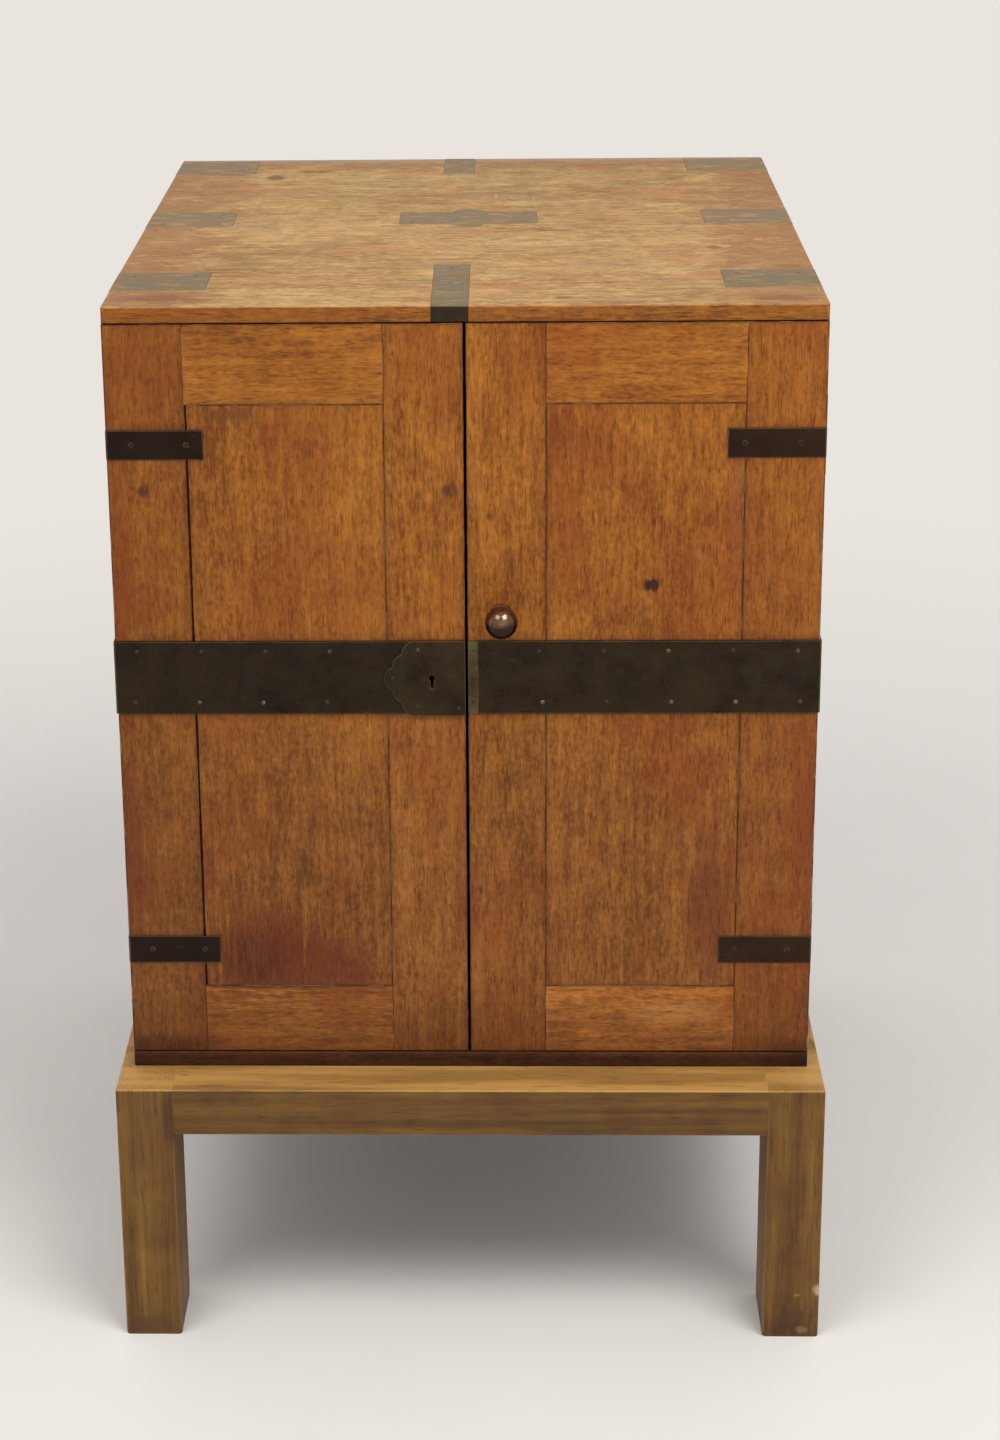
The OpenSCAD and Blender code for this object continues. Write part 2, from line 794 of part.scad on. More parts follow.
module knob_nut() {
  color(worn_brass) on_door(1) translate([knob_x, door_t + nut_t, knob_z]) rotate([90, 0, 0]) difference() {
    union() {
      cylinder(d = nut_w / cos(30), h = nut_t, $fn = 6);
      translate([0, 0, nut_t - over]) cylinder(r = washer_r, h = over);
    }
    translate([0, 0, -over]) cylinder(r = shank_r + joint_gap, h = nut_t + 2 * over);
  }
}

// Sliding bolts inside the left door. Both are drawn for the top; up = -1 turns one over.
module bolt_place(up) {
  edge = up > 0 ? door_z1 : door_z0;
  on_door(-1) translate([rod_x, 0, edge]) {
    if (up > 0) children();
    else mirror([0, 0, 1]) children();
  }
}

module sliding_bolt(up) {
  color(worn_brass) bolt_place(up) {
    translate([0, rod_y, -rod_in - rod_l]) cylinder(r = rod_r, h = rod_l);
    translate([0, rod_y, thumb_z]) rotate([-90, 0, 0]) cylinder(r = thumb_r, h = rod_r + keeper_wall + thumb_l);
  }
}

module bolt_guide(up) {
  bolt_place(up) difference() {
    union() {
      block([-guide_w / 2, door_t, guide_top - guide_l], [guide_w / 2, door_t + guide_t, guide_top]);
      for (z = [guide_top - keeper_l, guide_top - guide_l]) {
        block([-keeper_w / 2, door_t, z], [keeper_w / 2, rod_y + rod_r + keeper_wall, z + keeper_l]);
      }
    }
    translate([0, rod_y, guide_top - guide_l - over]) cylinder(r = keeper_r, h = guide_l + 2 * over);
  }
}

module bolt_guides() {
  color(dark_brass) for (up = [-1, 1]) bolt_guide(up);
}

// Butt hinges, drawn for the right-hand side. mine names the knuckles that belong to a leaf.
module hinge_knuckle(i) {
  translate([hinge_x, hinge_y, i * knuckle_pitch]) difference() {
    cylinder(r = knuckle_r, h = knuckle_pitch - run_gap);
    translate([0, 0, -over]) cylinder(r = hinge_pin_r + pin_gap, h = knuckle_pitch + 2 * over);
  }
}

module hinge_leaf(z, mine, y) {
  edge = hinge_x - knuckle_r - run_gap;
  translate([0, 0, z - hinge_h / 2]) {
    block([edge - leaf_w, y, 0], [edge, y + leaf_t, hinge_h]);
    for (i = mine) {
      difference() {
        block([edge - over, y, i * knuckle_pitch],
          [hinge_x - hinge_pin_r, y + leaf_t, (i + 1) * knuckle_pitch - run_gap]);
        translate([hinge_x, hinge_y, i * knuckle_pitch - over]) {
          cylinder(r = hinge_pin_r + pin_gap, h = knuckle_pitch + 2 * over);
        }
      }
      hinge_knuckle(i);
    }
  }
}

module case_leaves(s) {
  color(dark_brass) in_chest() on_side(s) {
    for (z = strap_zs) hinge_leaf(z, case_knuckles, hinge_y + door_gap / 2);
  }
}

module door_leaves(s) {
  color(dark_brass) in_chest() on_side(s) {
    for (z = strap_zs) hinge_leaf(z, door_knuckles, hinge_y - door_gap / 2 - leaf_t);
  }
}

module hinge_pins(s) {
  head_z = hinge_h + pin_gap;
  color(dark_brass) in_chest() on_side(s) for (z = strap_zs) {
    translate([hinge_x, hinge_y, z - hinge_h / 2]) {
      cylinder(r = hinge_pin_r, h = head_z + pin_head_h / 2);
      translate([0, 0, head_z]) cylinder(r = pin_head_r, h = pin_head_h);
    }
  }
}

// Flush carrying handles
module handle_plate(s) {
  color(dark_brass) in_chest() on_side(s) difference() {
    union() {
      dish_box();
      rim_box();
    }
    block([dish_floor, handle_y - dish_l / 2, handle_z - dish_h / 2],
      [rim_face + over, handle_y + dish_l / 2, handle_z + dish_h / 2]);
    translate([pivot_x, handle_y - dish_l, pivot_z]) rotate([-90, 0, 0]) {
      cylinder(r = pivot_r + pin_gap, h = 2 * dish_l);
    }
  }
}

module bail_bend() {
  rotate_extrude(angle = 90) translate([bend_r, 0]) circle(r = bail_r);
}

module handle(s) {
  arm = bail_drop - bend_r;
  grip = bail_l - 2 * bend_r;
  stub = dish_l / 2 + dish_wall - bail_side - joint_gap;
  color(worn_brass) in_chest() on_side(s) translate([pivot_x, handle_y, pivot_z]) {
    translate([0, -grip / 2, -bail_drop]) rotate([-90, 0, 0]) cylinder(r = bail_r, h = grip);
    for (e = [-1, 1]) mirror([0, e < 0 ? 1 : 0, 0]) {
      translate([0, bail_side, -arm]) cylinder(r = bail_r, h = arm);
      translate([0, grip / 2, -arm]) rotate([0, 90, 0]) bail_bend();
      translate([0, bail_side, 0]) sphere(r = bail_r);
      translate([0, bail_side, 0]) rotate([-90, 0, 0]) cylinder(r = pivot_r, h = stub);
    }
  }
}

// Stand. A leg is drawn for the front right corner; sx and sy name the corner it goes to.
module at_corner(sx, sy) {
  mirror([sx < 0 ? 1 : 0, 0, 0]) mirror([0, sy > 0 ? 1 : 0, 0]) children();
}

module front_tenon(g = 0) {
  inner = stand_w / 2 - leg_w;
  mid = -stand_d / 2 + front_rail_t / 2;
  block([inner - over, mid - leg_tenon_t / 2, stand_h - rail_h + leg_shoulder],
    [inner + front_tenon_l, mid + leg_tenon_t / 2, stand_h - leg_shoulder], g);
}

module side_tenon(g = 0) {
  outer = stand_w / 2;
  back = -stand_d / 2 + leg_d;
  x0 = outer - (side_rail_t + leg_tenon_t) / 2;
  block([x0, back - side_tenon_l, stand_h - rail_h + leg_shoulder],
    [x0 + leg_tenon_t, back + over, stand_h - leg_shoulder], g);
}

module leg_foot_outline() {
  r = foot_round;
  translate([0, r]) square([leg_w, leg_d - 2 * r]);
  translate([r, 0]) square([leg_w - 2 * r, leg_d]);
  for (x = [r, leg_w - r], y = [r, leg_d - r]) translate([x, y]) circle(r = r);
}

module stand_leg(sx, sy) {
  color(stand_wood) at_corner(sx, sy) difference() {
    translate([stand_w / 2 - leg_w, -stand_d / 2, 0]) union() {
      linear_extrude(foot_round) leg_foot_outline();
      translate([0, 0, foot_round]) cube([leg_w, leg_d, stand_h - foot_round]);
    }
    front_tenon(joint_gap);
    side_tenon(joint_gap);
  }
}

module front_or_back_rail(sy) {
  inner = stand_w / 2 - leg_w;
  color(stand_wood) mirror([0, sy > 0 ? 1 : 0, 0]) {
    block([-inner, -stand_d / 2, stand_h - rail_h], [inner, front_rail_t - stand_d / 2, stand_h]);
    front_tenon();
    mirror([1, 0, 0]) front_tenon();
  }
}

module stand_side_rail(s) {
  outer = stand_w / 2;
  half = stand_d / 2 - leg_d;
  color(stand_wood) on_side(s) {
    block([outer - side_rail_t, -half, stand_h - rail_h], [outer, half, stand_h]);
    side_tenon();
    mirror([0, 1, 0]) side_tenon();
  }
}

stand_leg(-1, -1);  // stand_leg_front_left
stand_leg(1, -1);  // stand_leg_front_right
stand_leg(-1, 1);  // stand_leg_back_left
stand_leg(1, 1);  // stand_leg_back_right
front_or_back_rail(-1);  // stand_front_rail
front_or_back_rail(1);  // stand_back_rail
stand_side_rail(-1);  // stand_side_rail_left
stand_side_rail(1);  // stand_side_rail_right
top_board();
bottom_board();
side_board(-1);  // side_left
side_board(1);  // side_right
back_boards();
shelf(upper_shelf_z);  // upper_shelf
shelf(lower_shelf_z);  // lower_shelf
top_straps(-1);  // top_straps_left
top_straps(1);  // top_straps_right
top_strap_front();
top_strap_back();
top_plate();
side_band(-1);  // side_band_left
side_band(1);  // side_band_right
side_straps(-1);  // side_straps_left
side_straps(1);  // side_straps_right
door_stile(-1, door_w - stile_w);  // left_door_outer_stile
door_stile(-1, 0);  // left_door_inner_stile
door_rail(-1, door_z1 - top_rail_h, top_rail_h);  // left_door_top_rail
door_rail(-1, door_z0, bottom_rail_h);  // left_door_bottom_rail
door_panel(-1);  // left_door_panel
door_stile(1, door_w - stile_w);  // right_door_outer_stile
door_stile(1, 0);  // right_door_inner_stile
door_rail(1, door_z1 - top_rail_h, top_rail_h);  // right_door_top_rail
door_rail(1, door_z0, bottom_rail_h);  // right_door_bottom_rail
door_panel(1);  // right_door_panel
door_band(-1);  // left_door_band
door_band(1);  // right_door_band
door_straps(-1);  // left_door_straps
door_straps(1);  // right_door_straps
lock_plate();
lock_case();
lock_bolt();
strike_plate();
knob();
knob_nut();
sliding_bolt(1);  // upper_bolt
sliding_bolt(-1);  // lower_bolt
bolt_guides();
case_leaves(-1);  // hinge_case_leaves_left
case_leaves(1);  // hinge_case_leaves_right
door_leaves(-1);  // hinge_door_leaves_left
door_leaves(1);  // hinge_door_leaves_right
hinge_pins(-1);  // hinge_pins_left
hinge_pins(1);  // hinge_pins_right
handle_plate(-1);  // handle_plate_left
handle_plate(1);  // handle_plate_right
handle(-1);  // handle_left
handle(1);  // handle_right
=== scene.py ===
"""Looks of a brass-bound travelling chest on a low stand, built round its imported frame."""
import json
import math
from functools import reduce

import bmesh
import bpy
from bpy.props import FloatProperty, FloatVectorProperty, PointerProperty
from mathutils import Matrix, Vector, noise

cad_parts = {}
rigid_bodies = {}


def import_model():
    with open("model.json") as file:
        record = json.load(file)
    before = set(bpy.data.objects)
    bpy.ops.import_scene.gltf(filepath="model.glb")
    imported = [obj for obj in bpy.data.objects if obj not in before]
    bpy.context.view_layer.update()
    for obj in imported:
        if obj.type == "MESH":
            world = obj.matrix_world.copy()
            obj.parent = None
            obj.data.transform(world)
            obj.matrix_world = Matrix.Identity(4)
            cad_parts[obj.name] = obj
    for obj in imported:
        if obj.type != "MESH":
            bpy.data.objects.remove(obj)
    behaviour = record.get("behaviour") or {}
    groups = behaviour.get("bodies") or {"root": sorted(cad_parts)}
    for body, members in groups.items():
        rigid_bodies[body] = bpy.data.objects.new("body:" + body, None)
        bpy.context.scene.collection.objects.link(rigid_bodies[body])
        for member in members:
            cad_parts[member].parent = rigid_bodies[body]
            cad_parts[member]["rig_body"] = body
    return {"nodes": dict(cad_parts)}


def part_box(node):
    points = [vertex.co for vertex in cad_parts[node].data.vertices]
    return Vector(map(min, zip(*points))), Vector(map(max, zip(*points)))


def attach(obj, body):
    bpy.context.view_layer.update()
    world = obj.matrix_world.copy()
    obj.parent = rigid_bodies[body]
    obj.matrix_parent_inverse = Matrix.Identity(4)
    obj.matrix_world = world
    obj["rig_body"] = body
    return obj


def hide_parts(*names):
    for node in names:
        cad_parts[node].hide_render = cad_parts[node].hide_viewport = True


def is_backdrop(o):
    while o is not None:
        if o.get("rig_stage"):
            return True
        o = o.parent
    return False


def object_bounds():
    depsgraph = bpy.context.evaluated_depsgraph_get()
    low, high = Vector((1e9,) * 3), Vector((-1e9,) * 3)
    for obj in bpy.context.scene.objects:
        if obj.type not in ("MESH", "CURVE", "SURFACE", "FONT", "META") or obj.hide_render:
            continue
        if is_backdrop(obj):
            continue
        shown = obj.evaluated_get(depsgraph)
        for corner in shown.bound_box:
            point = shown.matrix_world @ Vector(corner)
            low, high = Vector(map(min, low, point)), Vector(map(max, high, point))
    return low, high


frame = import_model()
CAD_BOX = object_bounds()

bl_info = {
    "name": "Brass-bound travelling chest",
    "version": (1, 0, 0),
    "blender": (4, 5, 0),
    "location": "View3D > Sidebar > Chest",
    "description": "Boards, brass, fixings and stage for a two-door travelling chest on a stand",
    "category": "Object",
}

MM = 0.001
AXES = X, Y, Z = 0, 1, 2

# Ways that the heads of screws and pins face
FRONT = (0, -1, 0)
BACK = (0, 1, 0)
UP = (0, 0, 1)

# Which way each side of the chest lies on x
SIDES = {"left": -1, "right": 1}

# Faces of the chest and of the stand, low and high on each axis
TOP_LOW, TOP_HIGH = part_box("top_board")
CHEST_FACES = list(zip(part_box("bottom_board")[0], TOP_HIGH))
STAND_FACES = list(zip(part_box("stand_leg_front_left")[0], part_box("stand_leg_back_right")[1]))
DOOR_FACE = CHEST_FACES[Y][0]
CHEST_SIDE = CHEST_FACES[X][1]
STAND_TOP = STAND_FACES[Z][1]
RAIL_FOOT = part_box("stand_front_rail")[0][Z]
LEG_INNER = abs(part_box("stand_leg_front_left")[1][X])

STRAP_WIDE = 21 * MM
BACK_BOARDS = 3

# Heights between which the doors' wood goes over into that of the low part, which is darker partly as
# painted shade, and of the foot
LOW_PART_SHADED = (0.60, 0.34)
FOOT_PART = (0.29, 0.212)

# Length of the steps in which the wear of a board's and of a sheet's corners changes
BOARD_STEP = 14 * MM
SHEET_STEP = 8 * MM


def linear(red, green, blue):
    """A colour as read off a screen, from 0 to 255, as the numbers that light uses."""
    return tuple(
        c / 12.92 if c <= 0.04045 else ((c + 0.055) / 1.055) ** 2.4
        for c in (red / 255, green / 255, blue / 255)
    )


def shaded(colour, tone):
    """A colour made lighter or darker, tone 1 being as it was."""
    return tuple(min(1.0, c * tone**2.2) for c in colour)


def colour_of(name, what, *screen):
    return FloatVectorProperty(
        name=name, description=what, default=linear(*screen), subtype="COLOR", size=3, min=0, max=1
    )


def length_of(name, what, size):
    return FloatProperty(
        name=name, description=what, default=size, min=0, max=0.1, precision=5, unit="LENGTH",
        subtype="DISTANCE",
    )


class CHEST_PG_wood(bpy.types.PropertyGroup):
    """Colours of the woods."""

    door_light: colour_of("Door, light", "Light grain of the doors and sides", 180, 113, 38)
    door_dark: colour_of("Door, dark", "Dark grain of the doors and sides", 120, 64, 14)
    door_red: colour_of("Door, red", "Reddish patches of the doors and sides", 128, 58, 18)
    # The low-down colours are darker partly as painted shade, for the lower front getting less light from
    # above
    low_light_shaded: colour_of("Low down, light", "Light grain near the stand", 164, 104, 44)
    low_dark_shaded: colour_of("Low down, dark", "Dark grain near the stand", 102, 56, 16)
    foot: colour_of("Foot", "Wood along the bottom edge", 92, 48, 20)
    top_light: colour_of("Top, light", "Light grain of the faded top", 196, 160, 104)
    top_dark: colour_of("Top, dark", "Dark grain of the faded top", 138, 100, 54)
    top_grey: colour_of("Top, grey", "Grey weathering of the top", 140, 122, 92)
    top_pink: colour_of("Top, pink", "Reddish patches of the top", 176, 120, 78)
    inner_light: colour_of("Inside, light", "Light grain of the inside and the back", 148, 96, 52)
    inner_dark: colour_of("Inside, dark", "Dark grain of the inside and the back", 96, 57, 27)
    stand_light: colour_of("Stand, light", "Light grain of the stand", 138, 99, 38)
    stand_dark: colour_of("Stand, dark", "Dark grain of the stand", 78, 48, 12)
    # The ledge colour is rubbed varnish and painted light on the upward face
    ledge_rub_and_light: colour_of("Ledge", "Rubbed upper face of the stand", 188, 143, 79)
    rim: colour_of("Rubbed rim", "Rubbed edges of the doors", 196, 142, 98)
    # The dirt colour also paints shade along the seams and against the brass
    dirt_and_shade: colour_of("Dirt", "Dirt in the seams and pores", 52, 24, 10)


class CHEST_PG_brass(bpy.types.PropertyGroup):
    """Colours of the metals."""

    patina: colour_of("Patina", "Dark brass of the bands and straps", 54, 41, 25)
    patina_deep: colour_of("Deep patina", "Darkest brass of the bands and straps", 29, 20, 12)
    # The rubbed rim is worn brass, and on the lock plate and the pins also a painted highlight
    rim: colour_of("Rubbed rim", "Rubbed edges of the dark brass", 108, 94, 66)
    green: colour_of("Verdigris", "Green bloom on the dark brass", 52, 48, 28)
    top: colour_of("Top brass", "Dull brass on the top", 136, 114, 82)
    top_grey: colour_of("Top brass, grey", "Grey bloom on the top brass", 114, 102, 80)
    rubbed: colour_of("Rubbed brass", "Handled brass", 132, 100, 62)
    knob: colour_of("Knob", "Bronzed ball of the knob", 140, 108, 90)
    iron: colour_of("Iron", "Lock case", 66, 62, 58)


class CHEST_PG_wear(bpy.types.PropertyGroup):
    """How far edges and fixings are worn."""

    seam: length_of("Seam arris", "Arris along the seams of the doors and the case", 0.28 * MM)
    corner: length_of("Corner arris", "Arris along the corners of the case", 1.1 * MM)
    top_edge: length_of("Top arris", "Arris round the top board", 1.5 * MM)
    top_corner: length_of("Top corners", "Rounding of the top board's four corners", 3 * MM)
    stand: length_of("Stand arris", "Arris along the stand", 1.2 * MM)
    sheet: length_of("Brass arris", "Arris along the sheet brass", 0.3 * MM)
    sheet_bend: length_of("Brass bend", "Rounding where the brass goes round a corner", 1.2 * MM)
    screw: length_of("Screw", "Radius of a screw's head", 2.3 * MM)
    pin: length_of("Pin", "Radius of a pin's head", 1.6 * MM)
    proud: length_of("Proud", "How far the heads stand out", 0.25 * MM)


class CHEST_PG_stage(bpy.types.PropertyGroup):
    """Floor and light."""

    floor: colour_of("Floor", "Pale paper floor", 234, 232, 229)
    backdrop: colour_of("Backdrop", "What lies behind the floor", 234, 228, 222)
    ambient: FloatProperty(
        name="Ambient", description="Strength of the light from all round", default=0.60, min=0, max=1,
        subtype="FACTOR",
    )
    key: FloatProperty(name="Key", description="Power of the right-hand lamp", default=38.5, unit="POWER")
    fill: FloatProperty(name="Fill", description="Power of the left-hand lamp", default=22.5, unit="POWER")


class Wire:
    """A socket that carries a number, and adds Math nodes as it is used in sums."""

    def __init__(self, nodes, socket):
        self.nodes = nodes
        self.socket = socket

    def math(self, operation, first, second):
        return self.nodes.node("Math", {"operation": operation}, {0: first, 1: second})

    def __add__(self, other):
        return self.math("ADD", self, other)

    def __sub__(self, other):
        return self.math("SUBTRACT", self, other)

    def __rsub__(self, other):
        return self.math("SUBTRACT", other, self)

    def __mul__(self, other):
        return self.math("MULTIPLY", self, other)

    __radd__ = __add__
    __rmul__ = __mul__

    def least(self, other):
        return self.math("MINIMUM", self, other)

    def most(self, other):
        return self.math("MAXIMUM", self, other)

    def swing(self, reach):
        """A number between 0 and 1 moved to lie about 0, reach wide."""
        return (self - 0.5) * reach

    def ease(self, low, high):
        """0 at low and 1 at high, smooth between them."""
        settings = {"interpolation_type": "SMOOTHSTEP"}
        return self.nodes.node("MapRange", settings, {"Value": self, "From Min": low, "From Max": high})


class Nodes:
    """The node tree of a material or a world while it is being made."""

    def __init__(self, owner):
        owner.use_nodes = True
        self.tree = owner.node_tree
        self.tree.nodes.clear()

    def node(self, kind, settings=None, inputs=None, output=0):
        made = self.tree.nodes.new("ShaderNode" + kind)
        for name, value in (settings or {}).items():
            setattr(made, name, value)
        for name, value in (inputs or {}).items():
            socket = made.inputs[name]
            if isinstance(value, Wire):
                self.tree.links.new(value.socket, socket)
            else:
                socket.default_value = (*value, 1) if socket.type == "RGBA" else value
        return Wire(self, made.outputs[output]) if made.outputs else None

    def surface(self, kind, share, first, second):
        """The output, where one shader goes over into the other as share goes from 0 to 1."""
        mix = self.node("MixShader", None, {0: share, 1: first, 2: second})
        self.node("Output" + kind, None, {"Surface": mix})

    def seen(self):
        """1 for what the camera sees, straight or mirrored, and 0 for the light on the chest."""
        camera = self.node("LightPath", None, None, "Is Camera Ray")
        return camera.most(self.node("LightPath", None, None, "Is Glossy Ray"))


class Finish(Nodes):
    """A material while it is being made. Patterns lie on Object coordinates, in metres."""

    def __init__(self, name):
        self.material = bpy.data.materials.new(name)
        super().__init__(self.material)
        self.wood = bpy.context.scene.chest_wood
        self.brass = bpy.context.scene.chest_brass
        self.place = self.node("TexCoord", output="Object")
        self.axes = [self.node("SeparateXYZ", None, {0: self.place}, i) for i in AXES]

    def cloud(self, scale, detail, rough=0.5, stretch=None, shift=(0, 0, 0), turn=(0, 0, 0)):
        """Noise, which is stretched, shifted and turned where stretch is given."""
        place = self.place
        if stretch:
            mapping = {"Vector": place, "Location": shift, "Rotation": turn, "Scale": stretch}
            place = self.node("Mapping", None, mapping)
        return self.node(
            "TexNoise", None, {"Vector": place, "Scale": scale, "Detail": detail, "Roughness": rough}
        )

    def blend(self, share, first, second):
        """One colour goes over into the other as share goes from 0 to 1."""
        return self.node("Mix", {"data_type": "RGBA"}, {0: share, 6: first, 7: second}, 2)

    def layered(self, colour, layers):
        """Lays each colour in turn over what lies below it, by its share."""
        for share, over in layers:
            colour = self.blend(share, colour, over)
        return colour

    def vector(self, operation, first, second=(0, 0, 0), output=0):
        return self.node("VectorMath", {"operation": operation}, {0: first, 1: second}, output)

    def length(self, vector):
        return self.vector("LENGTH", vector, output=1)

    def spot(self, centre, reach, ragged, cloud):
        """1 at a centre and 0 past its reach on each axis, with an edge that a cloud makes ragged."""
        away = self.length(self.vector("DIVIDE", self.vector("SUBTRACT", self.place, centre), reach))
        return (away + cloud.swing(ragged)).ease(1.0, 0.35)

    def mark(self, name):
        """A number that a face carries."""
        return self.node("Attribute", {"attribute_name": name}, None, 2)

    def bump(self, height, distance, strength=1.0):
        return self.node("Bump", None, {"Strength": strength, "Distance": distance, "Height": height})

    def done(self, colour, rough, normal=None, metallic=0.0, specular=0.5):
        """Joins the values to a Principled shader, and gives the material."""
        values = {"Base Color": colour, "Roughness": rough, "Metallic": metallic}
        values["Specular IOR Level"] = specular
        if normal:
            values["Normal"] = normal
        self.node("OutputMaterial", None, {"Surface": self.node("BsdfPrincipled", None, values)})
        return self.material


def squeezed(along, share):
    """A scale that draws a pattern out along one axis."""
    return [share if i == along else 1.0 for i in AXES]


class Wood(Finish):
    """A finish with the grain of one board: streaks, flecks, pores and slow changes of tone."""

    def __init__(self, name, along, seed, coarse=1.0):
        super().__init__(name)

        def cloud(scale, detail, rough, stretch, shift):
            shifts = (seed * 0.37 + shift, seed * 0.71, seed * 0.53 + shift)
            return self.cloud(scale / coarse, detail, rough, squeezed(along, 1 / stretch), shifts)

        self.wander = cloud(14, 2, 0.5, 4, 0.0)
        self.streak = cloud(205, 4, 0.62, 11, 3.1)
        self.fleck = cloud(480, 2, 0.6, 4.5, 5.7)
        self.speck = cloud(250, 2, 0.55, 2.4, 9.1).ease(0.60, 0.70)
        self.pore = cloud(1250, 1, 0.5, 14, 7.3).ease(0.60, 0.72)
        self.mottle = cloud(360, 2, 0.6, 1.7, 4.4)
        self.blotch = self.cloud(38, 3, 0.6)
        tone = 0.5 + self.wander.swing(1.0) + self.streak.swing(1.6) + self.fleck.swing(1.0)
        self.tone = tone + self.mottle.swing(1.1) + self.blotch.swing(0.9)

    def carved(self, colour, rough, specular, depth):
        """Gives the material, with the grain as its relief."""
        relief = self.fleck.swing(0.5) + self.streak.swing(0.6) - self.pore * 0.7
        return self.done(colour, rough, self.bump(relief, depth), specular=specular)


def edge_dirt_and_shade(f, limits):
    """Dirt and painted occlusion shade along the edges of a board's face, darkest right at the edge. limits
    holds axis, low and high.
    """
    ways = [(f.axes[axis] - low).least(high - f.axes[axis]) for axis, low, high in limits]
    close = reduce(Wire.least, ways)
    return close.ease(1.3 * MM, 0.0) * 0.62 + close.ease(6 * MM, 0.0) * f.blotch.ease(0.35, 0.75) * 0.35


def off_brass(f, plates):
    """How far a point of the front lies from the nearest of the brass plates, in x and z."""
    ways = []
    for (west, low), (east, high) in plates:
        beside = (west - f.axes[X]).most(f.axes[X] - east)
        above = (low - f.axes[Z]).most(f.axes[Z] - high)
        ways.append(beside.most(above).most(0.0))
    return reduce(Wire.least, ways)


def door_finish(name, along, seed, tone, limits, marks=(), plates=(), red=0.0):
    """Golden brown wood of the doors and the sides, darker and redder low down; part of that darkening is
    painted shade.
    """
    f = Wood(name, along, seed)
    height = f.axes[Z]
    # Painted shade in part: the wood darkens towards the stand
    low = (height + f.blotch.swing(0.16)).ease(*LOW_PART_SHADED)
    light = f.blend(low, shaded(f.wood.door_light, tone), shaded(f.wood.low_light_shaded, tone))
    dark = f.blend(low, shaded(f.wood.door_dark, tone), shaded(f.wood.low_dark_shaded, tone))
    ruddy = f.cloud(13, 4, 0.62, (1, 1, 0.6), (seed, 0, seed)).ease(0.47, 0.68)
    foot = (height + f.blotch.swing(0.05)).ease(*FOOT_PART)
    layers = [
        (ruddy * 0.42 + red, shaded(f.wood.door_red, tone * 1.06)),
        (f.speck * 0.45, shaded(f.wood.door_red, tone * 0.85)),
        (foot * 0.55, f.wood.foot),
    ]
    for x, z, wide, high, screen, strength in marks:
        at = f.spot((x, DOOR_FACE, z), (wide, 6 * MM, high), 1.6, f.streak)
        streaky = 0.34 + f.streak.ease(0.36, 0.60) * 0.72 + f.fleck * 0.4
        layers.append((at * streaky * strength, linear(*screen)))
    if plates:
        near = off_brass(f, plates)
        outer = f.axes[Y].ease(DOOR_FACE + 2 * MM, DOOR_FACE + 1 * MM)
        stain = near.ease(9 * MM, 0.0) * f.blotch.ease(0.40, 0.62) * outer
        layers.append((stain * 0.55, shaded(f.wood.door_red, 0.8 * tone)))
        # A dark line hard against the brass: dirt, and painted shade where the plates stand proud
        layers.append((near.ease(2.2 * MM, 0.0) * outer * 0.5, f.wood.dirt_and_shade))
    else:
        outer = (f.axes[X] * f.axes[X]).ease((CHEST_SIDE - 2 * MM) ** 2, (CHEST_SIDE - 1 * MM) ** 2)
    rubbed = f.blotch.ease(0.48, 0.60)
    layers += [
        (f.pore * 0.38, f.wood.dirt_and_shade),
        # Dirt and painted occlusion shade along the board's edges, stronger on the outer face
        (edge_dirt_and_shade(f, limits) * (outer * 0.6 + 0.4), f.wood.dirt_and_shade),
        (f.mark("arris") * 0.4, f.blend(rubbed, f.wood.dirt_and_shade, f.wood.rim)),
    ]
    colour = f.layered(f.blend(f.tone, dark, light), layers)
    return f.carved(colour, 0.56 + f.streak.swing(0.3) + f.pore * 0.2, 0.22, 0.28 * MM)


# Stains on the top: x, y, half width, half depth and strength
TOP_MARKS = [
    (-0.165, 0.205, 0.012, 0.016, 0.75), (-0.135, 0.232, 0.020, 0.008, 0.5),
    (-0.205, 0.225, 0.030, 0.010, 0.45), (0.070, -0.240, 0.010, 0.006, 0.5),
    (0.185, -0.080, 0.006, 0.010, 0.45), (0.100, -0.255, 0.035, 0.005, 0.4),
    (-0.205, -0.235, 0.050, 0.020, 0.45), (0.215, -0.245, 0.030, 0.010, 0.35),
]


